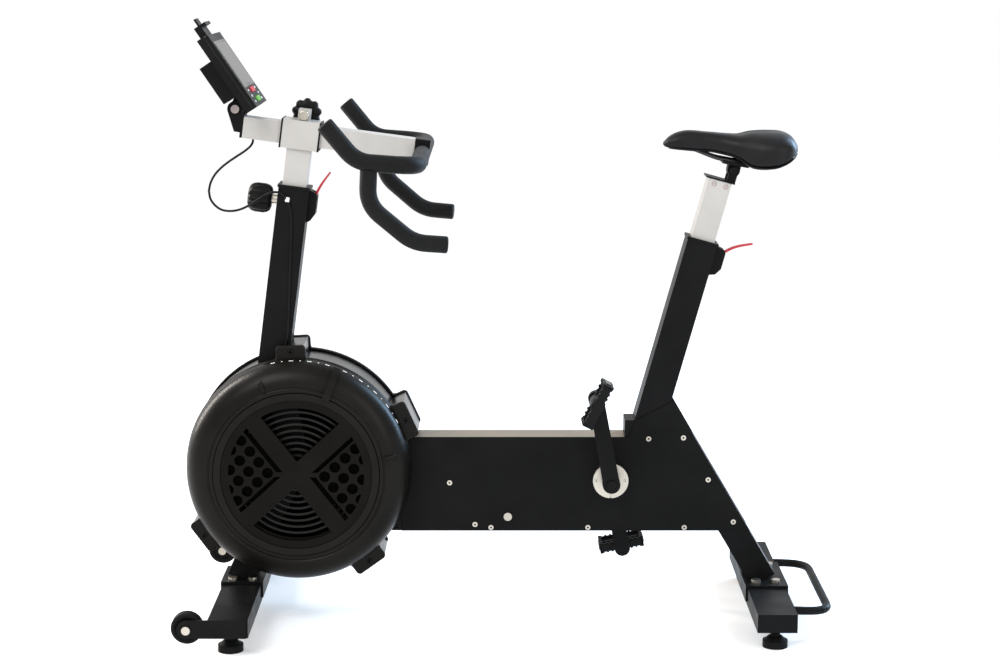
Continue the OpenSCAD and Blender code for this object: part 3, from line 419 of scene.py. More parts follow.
def rounded_tube(name, path, radius, rounding, sides=24, steps=5):
    """A tube whose two ends are rounded over by a quarter circle."""
    first = (path[1] - path[0]).normalized()
    last = (path[-1] - path[-2]).normalized()
    points, radii = [], []
    for k in range(steps + 1):
        a = math.pi / 2 * k / steps
        points.append(path[0] + first * rounding * (1 - math.cos(a)))
        radii.append(radius - rounding * (1 - math.sin(a)))
    points += path[1:-1]
    radii += [radius] * (len(path) - 2)
    for k in range(steps, -1, -1):
        a = math.pi / 2 * k / steps
        points.append(path[-1] - last * rounding * (1 - math.cos(a)))
        radii.append(radius - rounding * (1 - math.sin(a)))
    return tube(name, points, radii, sides)


# ---------- camera ----------

def make_camera():
    """At the viewing angle of a product photograph: level with the handlebar, looking 10 degrees down."""
    data = bpy.data.cameras.new("camera")
    data.sensor_width = 36
    data.lens = 78.48
    obj = bpy.data.objects.new("camera", data)
    obj.location = (-0.0125, -4.136, 1.2825)
    obj.rotation_euler = (math.radians(80), 0, 0)
    bpy.context.scene.collection.objects.link(obj)
    bpy.context.scene.camera = obj


# ---------- console cable ----------

# The cable's free route, in millimetres: out of the stem and round the loop, then to the clip and down
CABLE_UPPER = [(-480, -6, 932), (-481, -6.5, 924), (-486, -8, 916), (-497, -10, 907), (-511, -13, 898),
               (-526, -16, 888), (-540, -19, 877), (-552, -22, 864), (-560, -25, 849),
               (-562.9, -27.7, 835.5), (-563, -28, 834)]
CABLE_LOWER = [(-563, -28, 834), (-562.9, -28.3, 832.5), (-560, -31, 819), (-551, -34, 807),
               (-538, -37, 799), (-521, -39, 797), (-504, -40, 800), (-488, -40, 807),
               (-473, -40, 816), (-458, -40, 826), (-444, -39, 832), (-431, -37, 832),
               (-421, -35, 826), (-416, -34, 818), (-411, -33, 806), (-408, -32.6, 790),
               (-408, -32.6, 762), (-410, -32.6, 722), (-412, -32.6, 682), (-414, -32.6, 640),
               (-416, -32.6, 600), (-418, -32.6, 566), (-423, -32.6, 536), (-428, -32.6, 508)]
CABLE_R = 2.2 * MM


def make_cable(name, points, node):
    path = splined([Vector(p) * MM for p in points], 5)
    obj = link_mesh(name, tube(name, path, CABLE_R, 16), None, JACKET)
    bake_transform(obj)
    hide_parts(node)


def make_cables():
    make_cable("console_lead_upper", CABLE_UPPER, "console_cable_upper")
    make_cable("console_lead_lower", CABLE_LOWER, "console_cable_lower")


# ---------- saddle ----------

SADDLE_NOSE = corner("saddle_cushion", x=0, y=0.5, z=0).x / MM
SADDLE_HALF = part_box("saddle_cushion")[1].y / MM
# Side view of the saddle, in millimetres: distance from the nose and height
SADDLE_TOP = [(0, 921), (4, 929), (12, 936), (24, 942.5), (40, 946.5), (60, 947.5), (90, 945.5), (120, 942),
              (143, 940), (152, 942.5), (165, 945.5), (195, 946.5), (222, 945.5), (236, 941), (245, 934),
              (250, 925), (252, 917)]
SADDLE_EDGE = [(0, 919), (6, 915.5), (20, 913.5), (60, 910), (90, 909), (110, 905), (128, 901), (142, 895),
               (152, 888), (160, 882), (172, 879.5), (190, 879.5), (210, 882), (228, 889), (244, 900),
               (252, 910)]
# Half width of the saddle, as a share of its widest
SADDLE_WIDTH = [(0, 0.09), (4, 0.17), (12, 0.235), (26, 0.275), (50, 0.29), (80, 0.31), (110, 0.38),
                (135, 0.52), (158, 0.74), (180, 0.92), (200, 0.99), (215, 1.0), (230, 0.95), (242, 0.82),
                (249, 0.62), (252, 0.35)]


def at(table, x):
    """The value at x of a table of points joined by straight lines."""
    for (x0, v0), (x1, v1) in zip(table, table[1:]):
        if x <= x1:
            return v0 + (v1 - v0) * max(0.0, x - x0) / (x1 - x0)
    return table[-1][1]


def even(table, x, reach=5):
    """The same, eased over a short reach so that the corners between the points don't show."""
    return sum(at(table, min(max(x + reach * k / 3, 0), table[-1][0])) for k in range(-3, 4)) / 7


def saddle_ring(x, steps=44):
    """One cross-section of the cushion: crowned above, bulging at its flanks and flat below."""
    top, edge = even(SADDLE_TOP, x), even(SADDLE_EDGE, x)
    half = even(SADDLE_WIDTH, x) * SADDLE_HALF * 0.985
    ring = []
    for k in range(steps + 1):
        a = math.pi * k / steps
        c, s = math.cos(a), math.sin(a)
        y = half * math.copysign(abs(c) ** 0.72, c)
        z = edge + (top - edge) * s ** 0.62
        channel = 3.5 * math.exp(-(y / 13) ** 2) * min(1, max(0, (x - 45) / 40), max(0, (235 - x) / 30))
        y *= 0.93 + 0.07 * min(1.0, s * 2.6)
        ring.append(Vector((SADDLE_NOSE + x, y, z - channel)) * MM)
    for k in range(1, 12):
        y = -half * 0.93 * (1 - 2 * k / 12)
        ring.append(Vector((SADDLE_NOSE + x, y, edge + 1.5 + min(14, (top - edge) * 0.3))) * MM)
    return ring


def make_saddle():
    stations = [0, 1.5, 4, 8, 13] + [20 + 6 * k for k in range(36)] + [235, 240, 244, 247.5, 250, 251.3]
    mesh = grid_mesh("saddle_cover", [saddle_ring(x) for x in stations])
    cover = link_mesh("saddle_cover", mesh, "saddle", LEATHER)
    cover.modifiers.new("smooth", "SUBSURF").levels = 1
    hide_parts("saddle_cushion")
    shell_rings = []
    for x in [10, 14] + [22 + 8 * k for k in range(27)] + [236, 240]:
        edge = even(SADDLE_EDGE, x)
        half = (even(SADDLE_WIDTH, x) * SADDLE_HALF - 7) * 0.93
        profile = [(1, 1.5), (0.99, -1.6), (0.93, -2.6), (0.85, -2.0), (0.8, 2), (-0.8, 2), (-0.85, -2.0),
                   (-0.93, -2.6), (-0.99, -1.6), (-1, 1.5), (-0.9, 5), (0.9, 5)]
        shell_rings.append([Vector((SADDLE_NOSE + x, half * a, edge + b)) * MM for a, b in profile])
    shell = link_mesh("saddle_shell", grid_mesh("saddle_shell", shell_rings), "saddle", MOULDED)
    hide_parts("saddle_base")


def make_saddle_piping():
    """A rolled seam along the cushion's lower edge."""
    for side in (-1, 1):
        path = []
        for k in range(61):
            x = 2 + 246 * k / 60
            half = even(SADDLE_WIDTH, x) * SADDLE_HALF * 0.93 * 0.985
            path.append(Vector((SADDLE_NOSE + x, side * half, even(SADDLE_EDGE, x) + 0.6)) * MM)
        name = "saddle_seam_left" if side < 0 else "saddle_seam_right"
        link_mesh(name, tube(name, path, 1.3 * MM, 10), "saddle", MOULDED)


# ---------- handlebar grips ----------

BAR_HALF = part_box("grips")[1].y / MM - 19
GRIP_R = 16 * MM


def bar_route():
    """The handlebar's own route, in millimetres, from one raised end to the other."""
    b = BAR_HALF
    points = [(-324, -b - 3, 980), (-268, -b, 912), (-159.8, -b + 2, 904), (-159.8, b - 2, 904),
              (-268, b, 912), (-324, b + 3, 980)]
    return eased([Vector(p) * MM for p in points], [26 * MM, 48 * MM, 48 * MM, 26 * MM])


def drop_route(side):
    b = BAR_HALF
    points = [(-246, side * (b - 2), 899), (-249, side * (b - 6), 835), (-168, side * (b - 14), 766),
              (-106, side * (b - 20), 761)]
    return eased([Vector(p) * MM for p in points], [30 * MM, 24 * MM])


def make_grips():
    meshes = [rounded_tube("bar_foam", bar_route(), GRIP_R, 4 * MM, 28)]
    for side in (-1, 1):
        meshes.append(rounded_tube("drop_foam", drop_route(side), GRIP_R - 0.5 * MM, 4 * MM, 28))
    foam = link_mesh("foam_grips", join_meshes("foam_grips", meshes), "stem", FOAM)
    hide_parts("grips")


# ---------- fan housing ----------

HOUSING_R = 214 * MM
HOUSING_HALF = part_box("fan_shell_right")[1].y
SHOULDER = 48 * MM
BAND_HALF = 50.2 * MM
WALL = 3 * MM


def shell_profile():
    """The wall of a housing half: rim bead, rounded shoulder, step and flat lip round the grille."""
    r0, y0 = HOUSING_R - SHOULDER, HOUSING_HALF - SHOULDER
    outer = [(HOUSING_R - 3 * MM, BAND_HALF), (HOUSING_R + 1.2 * MM, BAND_HALF),
             (HOUSING_R + 2 * MM, BAND_HALF + 1.5 * MM), (HOUSING_R + 2 * MM, BAND_HALF + 5 * MM),
             (HOUSING_R + 0.4 * MM, BAND_HALF + 7 * MM)]
    for k in range(3, 33):
        a = math.pi / 2 * k / 34
        outer.append((r0 + SHOULDER * math.cos(a), y0 + SHOULDER * math.sin(a)))
    lip = [(169.5, -0.2), (168.8, -1.8), (167.4, -2.2), (166.2, -1.8), (165.6, -0.4), (164.5, 0), (159, 0),
           (158, -1), (158, -6), (160, -7)]
    outer += [(r * MM, HOUSING_HALF + y * MM) for r, y in lip]
    inner_r = SHOULDER - WALL
    angles = [math.pi / 2 * k / 12 for k in range(11, -1, -1)]
    return outer + [(r0 + inner_r * math.cos(a), y0 + inner_r * math.sin(a)) for a in angles]


# The housing's ears: angle round the fan and width along the rim, in millimetres
EARS = [(93, 56), (24.5, 72), (216, 66), (-54, 66)]
EAR_REACH = 27
EAR_DEPTH = 11


def ear_outline(width):
    """Plan of an ear in its own frame: X outwards from the rim, Z along it, with round shoulders."""
    half, r = width / 2 + 0.5, 8
    outline = [(-8, -half - 4), (-8, half + 4), (1, half + 1.5), (6, half)]
    for k in range(7):
        a = math.pi / 2 * k / 6
        outline.append((EAR_REACH - r + r * math.sin(a), half - r + r * math.cos(a)))
    for k in range(7):
        a = math.pi / 2 * k / 6
        outline.append((EAR_REACH - r + r * math.cos(a), -half + r - r * math.sin(a)))
    return outline + [(6, -half), (1, -half - 1.5)]


def make_ears(side):
    meshes = []
    for angle, width in EARS:
        a = math.radians(angle)
        out = Vector((math.cos(a), 0, math.sin(a)))
        along = Vector((-math.sin(a), 0, math.cos(a)))
        base = FAN + out * (HOUSING_R - 1.5 * MM) + SIDE * side * (BAND_HALF + EAR_DEPTH / 2 * MM)
        outline = [(x * MM, z * MM) for x, z in ear_outline(width)]
        meshes.append(prism("ear", outline, EAR_DEPTH * MM, axes_matrix(base, out, SIDE, along)))
    return meshes


def shoulder_frame(angle, lift):
    """A frame on the near shoulder: X along the rim, Y out of the surface, Z away from the axis."""
    a, b = math.radians(angle), math.radians(lift)
    out = Vector((math.cos(a), 0, math.sin(a)))
    around = Vector((-math.sin(a), 0, math.cos(a)))
    normal = out * math.cos(b) - SIDE * math.sin(b)
    rising = out * math.sin(b) + SIDE * math.cos(b)
    centre = Vector((FAN.x, 0, FAN.z)) + out * (HOUSING_R - SHOULDER) - SIDE * (HOUSING_HALF - SHOULDER)
    return axes_matrix(centre + normal * SHOULDER, around, normal, rising)


# The printed scale: its first stroke and its pitch round the fan, and how far up the shoulder it lies,
# then the raised stops' places round the fan, all in degrees
SCALE_START, SCALE_PITCH, SCALE_LIFT = 102, 4.7, 12
STOP_ANGLES, STOP_LIFT = (110.3, 10.7), 72


def make_rim_marks():
    """A printed scale of long and short strokes on the near shoulder, and a raised stop at each end."""
    strokes = []
    for k in range(17):
        length = 8.5 if k % 2 == 0 else 2.6
        place = shoulder_frame(SCALE_START - SCALE_PITCH * k, SCALE_LIFT)
        strokes.append(rounded_box("stroke", (length, 0.8, 2.6), (0, 0, 0), place, 0.3))
    link_mesh("rim_scale", join_meshes("rim_scale", strokes), "frame", WHITE)
    stops = []
    for angle in STOP_ANGLES:
        place = shoulder_frame(angle, STOP_LIFT)
        stops.append(rounded_box("stop", (9, 7, 22), (0, 0, 0), place, 3.2))
    link_mesh("damper_stops", join_meshes("damper_stops", stops), "frame", HOUSING)


def make_shells():
    for side, node, name in ((-1, "fan_shell_left", "housing_left"), (1, "fan_shell_right", "housing_right")):
        profile = [(r, side * y) for r, y in shell_profile()]
        mesh = lathe(name, (FAN.x, 0, FAN.z), profile, 160)
        obj = link_mesh(name, mesh, "frame", HOUSING)
        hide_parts(node)
        ears = link_mesh(name + "_ears", join_meshes(name + "_ears", make_ears(side)), "frame", HOUSING)
        round_edges(ears, 2.5 * MM)
        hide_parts(node)


# ---------- knobs and levers ----------

def lobed_profile(radius, height, lobes=9, steps=180):
    """Rings of a hand knob: scalloped sides, rounded over at both faces, with a dished top."""
    layers = [(0.0, 0.5), (0.0, 0.62), (0.05, 0.8), (0.16, 0.93), (0.32, 1.0), (0.66, 1.0), (0.82, 0.94),
              (0.94, 0.8), (1.0, 0.6), (0.99, 0.36), (0.94, 0.3), (0.92, 0.05)]
    rings = []
    for level, share in layers:
        ring = []
        for k in range(steps):
            a = 2 * math.pi * k / steps
            scallop = 1 - 0.13 * (0.5 - 0.5 * math.cos(lobes * a)) ** 1.6 * min(1, share * 1.1)
            r = radius * share * scallop
            ring.append(Vector((r * math.cos(a), r * math.sin(a), height * level)))
        rings.append(ring)
    return rings


KNOB_R = 28.5 * MM


def make_knob(name, node, body, origin, along, start, height, boss):
    """A lobed knob that stands along an axis, with a bright boss, both in place of a CAD node."""
    x = along.orthogonal().normalized()
    place = axes_matrix(origin, x, along.cross(x), along)
    rings = [[place @ (p + Vector((0, 0, start))) for p in ring] for ring in lobed_profile(KNOB_R, height)]
    knob = link_mesh(name, grid_mesh(name, rings), body, MOULDED)
    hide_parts(node)
    low, high, r = boss
    profile = [(0.2 * r, low), (r * 0.9, low), (r, low + 0.8 * MM), (r, high - 1.2 * MM), (r * 0.86, high),
               (0.2 * r, high)]
    rings = [[place @ Vector((q * math.cos(2 * math.pi * k / 48), q * math.sin(2 * math.pi * k / 48), h))
              for k in range(48)] for q, h in profile]
    bright = link_mesh(name + "_boss", grid_mesh(name + "_boss", rings), body, STEEL)
    round_edges(bright, 0.6 * MM)
    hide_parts(node)


def make_knobs():
    out = direction("post_knob_turn")
    make_knob("front_knob", "post_knob", "post_knob", pivot("post_knob_turn"), out, 12 * MM, 45 * MM,
              (0.3 * MM, 15 * MM, 9.5 * MM))
    pinch = pivot("stem_knob_turn")
    make_knob("pinch_knob", "stem_knob", "stem_knob", pinch, SIDE, 31.6 * MM, 22 * MM,
              (-27 * MM, -18.3 * MM, 9.5 * MM))


def make_lever(name, node, body, joint, reach, rise, bend, hub_r=4.5):
    """A red cam lever: a round hub and a curved blade that widens and thins towards its rounded tip."""
    hub = pivot(joint)
    length = math.hypot(reach, rise)
    along = Vector((reach, 0, rise)).normalized()
    normal = Vector((-along.z, 0, along.x))
    rings = []
    for k in range(25):
        t = k / 24
        centre = hub + (along * length * t + normal * bend * math.sin(math.pi * t) * (1 - 0.5 * t)) * MM
        half_w = (5.2 + 1.6 * t) * (1 if t < 0.9 else max(0.25, math.sqrt(1 - ((t - 0.9) / 0.1) ** 2)))
        half_t = 2.9 - 1.1 * t
        ring = []
        for j in range(20):
            a = 2 * math.pi * j / 20
            y = half_w * math.copysign(abs(math.cos(a)) ** 0.5, math.cos(a))
            n = half_t * math.copysign(abs(math.sin(a)) ** 0.7, math.sin(a))
            ring.append(centre + (SIDE * y + normal * n) * MM)
        rings.append(ring)
    blade = grid_mesh("blade", rings)
    hub_mesh = lathe("hub", hub, [(2.2 * MM, -5.2 * MM), (hub_r * MM, -5.2 * MM), (hub_r * MM, 5.2 * MM),
                                  (2.2 * MM, 5.2 * MM)], 40)
    lever = link_mesh(name, join_meshes(name, [blade, hub_mesh]), body, RED)
    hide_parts(node)


def make_levers():
    make_lever("front_lever", "post_lever", "post_lever", "post_lever_swing", 30, 48, 3)
    make_lever("rear_lever", "seat_lever", "seat_lever", "seat_lever_swing", 60, 20, 6)


# ---------- console ----------

CONSOLE_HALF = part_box("console_front")[1].y / MM
CONSOLE_FOOT = pivot("console_tilt") + (CONSOLE_OUT * 21.4 - CONSOLE_UP * 19.4) * MM
CONSOLE = axes_matrix(CONSOLE_FOOT, CONSOLE_OUT, SIDE, CONSOLE_UP)


def plate(name, x0, x1, half, z0, z1, radius, steps=8):
    """A plate with rounded corners on the console's face, in millimetres in the console's own frame."""
    outline = []
    for cy, cz, start in ((half - radius, z1 - radius, 0), (-half + radius, z1 - radius, 90),
                          (-half + radius, z0 + radius, 180), (half - radius, z0 + radius, 270)):
        for k in range(steps + 1):
            a = math.radians(start + 90 * k / steps)
            outline.append((cy + radius * math.cos(a), cz + radius * math.sin(a)))
    rings = [[CONSOLE @ (Vector((x, y, z)) * MM) for y, z in outline] for x in (x0, x1)]
    return grid_mesh(name, rings)


def flat_shaded(mesh):
    for face in mesh.polygons:
        face.use_smooth = False
    return mesh


def make_console_trim():
    """Steel trim round the face, the display's frame and window, and the printed marks beside the keys."""
    trim = link_mesh("console_trim", plate("console_trim", 14.6, 15.4, CONSOLE_HALF + 0.4, -0.4, 158.6, 7),
                     "console", RAIL)
    round_edges(trim, 0.3 * MM)
    frame_mesh = plate("display_frame", 22.6, 23.6, CONSOLE_HALF - 10, 41, 143, 5)
    window = plate("display_window", 23.0, 23.9, CONSOLE_HALF - 16, 47, 137, 3)
    rim = link_mesh("display_frame", frame_mesh, "console", BAND)
    round_edges(rim, 0.4 * MM)
    glass = link_mesh("display_window", window, "console", DISPLAY)
    round_edges(glass, 0.3 * MM)
    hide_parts("console_screen")
    marks = []
    for side in (-1, 1):
        for height in (10, 22, 34):
            outline = plate("mark", 23.1, 23.35, 6, height - 2, height + 2, 1.9, 5)
            outline.transform(Matrix.Translation(SIDE * side * 52 * MM))
            marks.append(outline)
    link_mesh("key_legends", join_meshes("key_legends", marks), "console", WHITE)


def make_key(name, body, node, low, material):
    """A pillow-topped key in its opening."""
    rings = []
    for x, inset in ((17, 0), (24.2, 0), (25.2, 0.5), (25.7, 1.5), (25.9, 3.2)):
        ring = []
        half, z0, z1, r = 26 - inset, low + inset, low + 11 - inset, max(1.0, 4.5 - inset)
        for cy, cz, start in ((half - r, z1 - r, 0), (-half + r, z1 - r, 90), (-half + r, z0 + r, 180),
                              (half - r, z0 + r, 270)):
            for k in range(7):
                a = math.radians(start + 90 * k / 6)
                ring.append(CONSOLE @ (Vector((x, cy + r * math.cos(a), cz + r * math.sin(a))) * MM))
        rings.append(ring)
    key = link_mesh(name, grid_mesh(name, rings), body, material)
    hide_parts(node)


def make_console():
    make_console_trim()
    make_key("stop_key", "key_stop", "key_stop", 27, KEY_RED)
    make_key("start_key", "key_start", "key_start", 7, KEY_GREEN)
    ribs = []
    for k in range(5):
        rib = plate("rib", -32.2, -30.8, 40, 52 + 12 * k, 54.5 + 12 * k, 1.1, 4)
        ribs.append(rib)
    link_mesh("battery_ribs", join_meshes("battery_ribs", ribs), "console", MOULDED)


# ---------- pedals, wheels and small parts ----------

def make_wheel(name, node, body, joint):
    """A solid rubber transport wheel with a rounded tread and a dished face."""
    low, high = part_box(node)
    radius, half = (high.z - low.z) / 2, (high.y - low.y) / 2
    profile = [(5.2 * MM, -half + 1 * MM), (11 * MM, -half + 1 * MM), (12.5 * MM, -half + 3.5 * MM),
               (19 * MM, -half + 3.5 * MM), (20.5 * MM, -half + 0.4 * MM), (radius - 4 * MM, -half),
               (radius - 1.2 * MM, -half + 1.2 * MM), (radius, -half + 4 * MM), (radius, -2 * MM),
               (radius - 0.8 * MM, -1 * MM), (radius - 0.8 * MM, 1 * MM), (radius, 2 * MM)]
    profile += [(r, -y) for r, y in profile[-5::-1]]
    wheel = link_mesh(name, lathe(name, pivot(joint), profile, 72), body, RUBBER)
    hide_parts(node)


def make_wheels():
    make_wheel("wheel_left_tyre", "transport_wheel_left", "wheel_left", "wheel_left_spin")
    make_wheel("wheel_right_tyre", "transport_wheel_right", "wheel_right", "wheel_right_spin")


def rounded_box(name, size, centre, matrix, radius):
    """A box with rounded edges, given in millimetres in a frame of its own."""
    bm = bmesh.new()
    bmesh.ops.create_cube(bm, size=1.0)
    bmesh.ops.scale(bm, vec=[s * MM for s in size], verts=bm.verts)
    bmesh.ops.translate(bm, vec=Vector(centre) * MM, verts=bm.verts)
    bmesh.ops.bevel(bm, geom=list(bm.edges), offset=radius * MM, segments=3, affect="EDGES", profile=0.6)
    bmesh.ops.transform(bm, matrix=matrix, verts=bm.verts)
    mesh = bpy.data.meshes.new(name)
    bm.to_mesh(mesh)
    bm.free()
    return smooth(mesh)


# Length of the pedal cages, in millimetres, and of each screw socket's dark hexagon, a painted shade, as a
# share of its head's width
PEDAL_LEN = 89
SOCKET_SHARE = 0.2


def make_pedal(name, node, body, joint, side, angle):
    """A cage pedal: barrel, two toothed plates along the shoe, end bars with studs, and reflectors."""
    low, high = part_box(node)
    inner = min(abs(low.y), abs(high.y)) / MM
    outer = max(abs(low.y), abs(high.y)) / MM
    hub = pivot(joint)
    a = math.radians(angle)
    place = axes_matrix(Vector((hub.x, 0, hub.z)), Vector((math.cos(a), 0, -math.sin(a))), SIDE * side,
                        Vector((math.sin(a), 0, math.cos(a))))
    width, mid = outer - inner, (inner + outer) / 2
    length = PEDAL_LEN / 2
    parts = [lathe("barrel", (0, 0, 0), [(6.2 * MM, inner * MM), (13 * MM, inner * MM), (13.5 * MM, mid * MM),
                                         (13 * MM, (outer - 2) * MM), (6.2 * MM, (outer - 1) * MM)], 40)]
    parts[0].transform(place)
    for y in (inner + 3, outer - 3):
        parts.append(rounded_box("plate", (2 * length, 6, 17), (0, y, 0), place, 2))
        for k in range(9):
            x = (k - 4) * (length - 6) / 4
            parts.append(rounded_box("tooth", (4.6, 5, 21), (x, y, 0), place, 1.2))
    for x in (3 - length, length - 3):
        parts.append(rounded_box("end_bar", (6, width, 22), (x, mid, 0), place, 2.2))
        for k in range(4):
            y = inner + 9 + (width - 18) * k / 3
            parts.append(rounded_box("stud", (5, 3.5, 25), (x, y, 0), place, 1.2))
    parts.append(rounded_box("cross_rib", (2 * length - 6, 5, 12), (0, mid, 0), place, 1.5))
    pedal = link_mesh(name, join_meshes(name, parts), body, MOULDED)
    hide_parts(node)
    lenses = [rounded_box("lens", (2.2, width - 26, 11), (x, mid, 0), place, 0.8)
              for x in (-length - 0.4, length + 0.4)]
    link_mesh(name + "_reflectors", join_meshes(name + "_reflectors", lenses), body, BAND)


def make_pedals():
    make_pedal("left_pedal_cage", "pedal_left", "pedal_left", "pedal_left_spin", -1, -64)
    make_pedal("right_pedal_cage", "pedal_right", "pedal_right", "pedal_right_spin", 1, -11)


def make_sleeve_lips():
    """Dark guide lips at the sleeve's two mouths, round the stem that slides through."""
    centre = pivot("stem_knob_turn") - (STEM_BACK * 2 + POST_UP * 37) * MM
    place = axes_matrix(centre, STEM_BACK, SIDE, POST_UP)
    lips = []
    for x in (-36.2, 36.2):
        lips.append(rounded_box("lip", (3.2, 66, 3.4), (x, 0, 26), place, 1))
        lips.append(rounded_box("lip", (3.2, 66, 3.4), (x, 0, -26), place, 1))
        lips.append(rounded_box("lip", (3.2, 5.6, 52), (x, 29, 0), place, 1))
        lips.append(rounded_box("lip", (3.2, 5.6, 52), (x, -29, 0), place, 1))
    link_mesh("sleeve_lips", join_meshes("sleeve_lips", lips), "handlebar_post", MOULDED)


def make_rivets():
    """Two rivets through the seat slider's near and far faces, just under its plate."""
    top = pivot("saddle_tilt") - SEAT_UP * 33 * MM
    back = Vector((SEAT_UP.z, 0, -SEAT_UP.x))
    meshes = []
    for shift in (-30, -7):
        for side in (-1, 1):
            centre = top + (back * shift + SIDE * side * 25) * MM
            profile = [(0.3 * MM, 0), (4.6 * MM, 0), (4.4 * MM, side * 0.9 * MM), (3.2 * MM, side * 1.5 * MM),
                       (0.3 * MM, side * 1.7 * MM)]
            meshes.append(lathe("rivet", centre, profile, 32))
    link_mesh("slider_rivets", join_meshes("slider_rivets", meshes), "seat_post", RIVET)


def make_cable_clip():
    """A pale clip that holds the console cable to the post's near face."""
    at_post = Vector((-414.5, -33, 818)) * MM
    place = axes_matrix(at_post, STEM_BACK, SIDE, POST_UP)
    clip = rounded_box("clip", (8, 6.5, 9), (0, 0, 0), place, 1.6)
    link_mesh("cable_clip", clip, "frame", WHITE)


def paint_faces(node, material, test):
    """Gives a second material to the faces of a CAD node whose centre and normal pass a test."""
    data = NODES[node].data
    data.materials.append(material)
    for face in data.polygons:
        centre = sum((data.vertices[i].co for i in face.vertices), Vector()) / len(face.vertices)
        if test(centre, face.normal):
            face.material_index = 1


# Where the second colours, the painted shade inside the fan housing and the painted reflection on the beam's
# top begin
# Within this radius the damper ring takes the painted shade
INSIDE_SHADE_R = 142 * MM
STEM_CLAMP_AT = 324.5 * MM
SEAT_PLATE_AT = -25.5 * MM
HINGE_CAP_Y, HINGE_CAP_R = 25.9 * MM, 8.5 * MM
BEAM_REFLECTION_Z = 350 * MM
EAR_SCREW_Y, EAR_SCREW_LOW, EAR_SCREW_HIGH = 36 * MM, 216 * MM, 240 * MM


def from_axis(point, axis):
    """Distance of a point from a line along Y."""
    return math.hypot(point.x - axis.x, point.z - axis.z)


def paint_second_colours():
    """Parts that are welded into one node with others of another colour, with painted shade on the damper
    ring's inner part and a painted reflection on the beam's top.
    """
    stem_end = corner("stem", x=0, y=0.5, z=1) + STEM_BACK * STEM_CLAMP_AT
    clamp, hinge = pivot("saddle_tilt"), pivot("console_tilt")
    paint_faces("stem", POWDER, lambda centre, normal: (centre - stem_end).dot(STEM_BACK) > 0)
    paint_faces("seat_slider", POWDER, lambda centre, normal: (centre - clamp).dot(SEAT_UP) > SEAT_PLATE_AT)
    # The damper ring's inner part takes the painted shade too
    paint_faces("damper_ring", PAINTED_SHADE, lambda centre, normal: from_axis(centre, FAN) < INSIDE_SHADE_R)
    paint_faces("console_back", RIVET, lambda centre, normal:
                abs(centre.y) > HINGE_CAP_Y and from_axis(centre, hinge) < HINGE_CAP_R)
    # The beam's upward faces take the painted reflection, a warm tan where light falls on its top
    paint_faces("main_beam", PAINTED_BEAM_REFLECTION, lambda centre, normal: normal.z > 0.9 and centre.z > BEAM_REFLECTION_Z)
    paint_faces("frame_fasteners", POWDER, lambda centre, normal:
                abs(centre.y) > EAR_SCREW_Y and EAR_SCREW_LOW < from_axis(centre, FAN) < EAR_SCREW_HIGH)


# ---------- screw sockets, as painted shade ---

def make_socket_shades():
    """Dark hexagons on the heads of the panel and housing screws: painted shade in place of their sockets'
    recesses.
    """
    meshes = []
    for centre, side, radius in fastener_heads():
        ring_in = []
        ring_out = []
        for k in range(6):
            a = math.pi / 3 * k
            d = Vector((math.cos(a), 0, math.sin(a))) * radius * MM
            ring_in.append(centre + d - SIDE * side * 0.6 * MM)
            ring_out.append(centre + d + SIDE * side * 0.12 * MM)
        # Each socket is a black hexagon just proud of the head, painted shade where a recess would be
        meshes.append(flat_shaded(grid_mesh("socket", [ring_in, ring_out])))
    link_mesh("screw_socket_shades", join_meshes("screw_socket_shades", meshes), "frame", MOULDED)


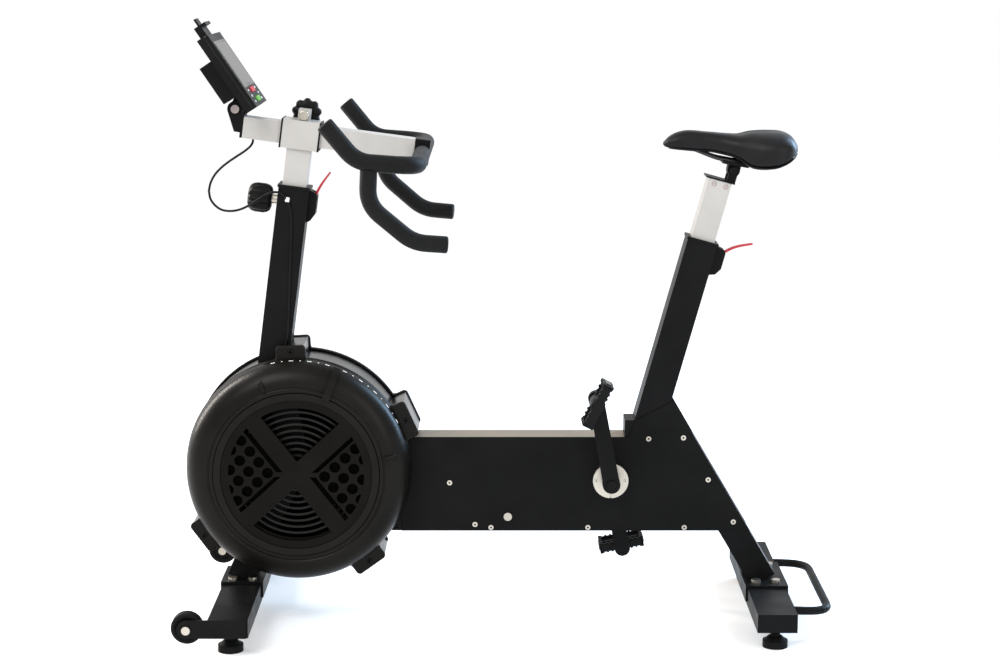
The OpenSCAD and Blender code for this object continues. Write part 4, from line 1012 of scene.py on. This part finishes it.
def fastener_heads():
    """The outer face of each screw head that lies along Y, found in the fasteners' own mesh."""
    bm = bmesh.new()
    bm.from_mesh(NODES["frame_fasteners"].data)
    heads = []
    seen = set()
    for start in bm.verts:
        if start.index in seen:
            continue
        stack, island = [start], []
        while stack:
            v = stack.pop()
            if v.index in seen:
                continue
            seen.add(v.index)
            island.append(v.co)
            stack += [e.other_vert(v) for e in v.link_edges]
        xs = [c.x for c in island]
        ys = [c.y for c in island]
        zs = [c.z for c in island]
        width, height = max(xs) - min(xs), max(zs) - min(zs)
        centre_x, centre_z = (max(xs) + min(xs)) / 2, (max(zs) + min(zs)) / 2
        if abs(width - height) < 0.4 * MM and 6 * MM < width < 12 * MM and centre_z > 0.1:
            side = 1 if max(ys) > 0 else -1
            face_y = max(ys) if side > 0 else min(ys)
            heads.append((Vector((centre_x, face_y, centre_z)), side, width / MM * SOCKET_SHARE))
    bm.free()
    return heads


# ---------- stage ----------

def make_area_light(name, location, target, size, power, colour=(1, 1, 1)):
    data = bpy.data.lights.new(name, "AREA")
    data.shape = "RECTANGLE"
    data.size, data.size_y = size
    data.energy = power
    data.color = colour
    obj = bpy.data.objects.new(name, data)
    obj.location = location
    obj.rotation_euler = (Vector(target) - Vector(location)).to_track_quat("-Z", "Y").to_euler()
    bpy.context.scene.collection.objects.link(obj)


def make_stage():
    bpy.ops.mesh.primitive_plane_add(size=40)
    floor = bpy.context.object
    floor.name = "floor"
    mat, _, _, shader = new_material("pale_floor")
    shader.inputs["Base Color"].default_value = (0.78, 0.78, 0.78, 1)
    shader.inputs["Roughness"].default_value = 0.8
    shader.inputs["Specular IOR Level"].default_value = 0.1
    shader.inputs["Emission Color"].default_value = (1, 1, 1, 1)
    shader.inputs["Emission Strength"].default_value = 0.22
    floor.data.materials.append(mat)
    world = bpy.data.worlds.new("studio")
    world.use_nodes = True
    background = world.node_tree.nodes["Background"]
    background.inputs["Color"].default_value = (1, 1, 1, 1)
    background.inputs["Strength"].default_value = 1.0
    bpy.context.scene.world = world
    make_area_light("key", (-1.6, -2.2, 3.0), (0, 0, 0.5), (1.6, 1.6), 70)
    make_area_light("fill", (1.8, -2.6, 1.6), (0.1, 0, 0.5), (1.2, 2.0), 25)
    make_area_light("rear_strip", (2.4, 1.6, 1.9), (0.1, 0, 0.6), (0.5, 2.4), 150, (0.45, 0.7, 1.0))
    make_area_light("left_strip", (-2.6, 1.2, 1.7), (-0.3, 0, 0.5), (0.4, 2.2), 110, (1.0, 0.93, 0.86))
    bpy.context.scene.view_settings.view_transform = "Standard"


make_camera()
make_cables()
dress_cad_nodes()
make_saddle()
make_saddle_piping()
make_grips()
make_shells()
make_rim_marks()
make_knobs()
make_levers()
make_console()
make_wheels()
make_pedals()
make_sleeve_lips()
make_rivets()
make_cable_clip()
paint_second_colours()
make_socket_shades()
make_stage()
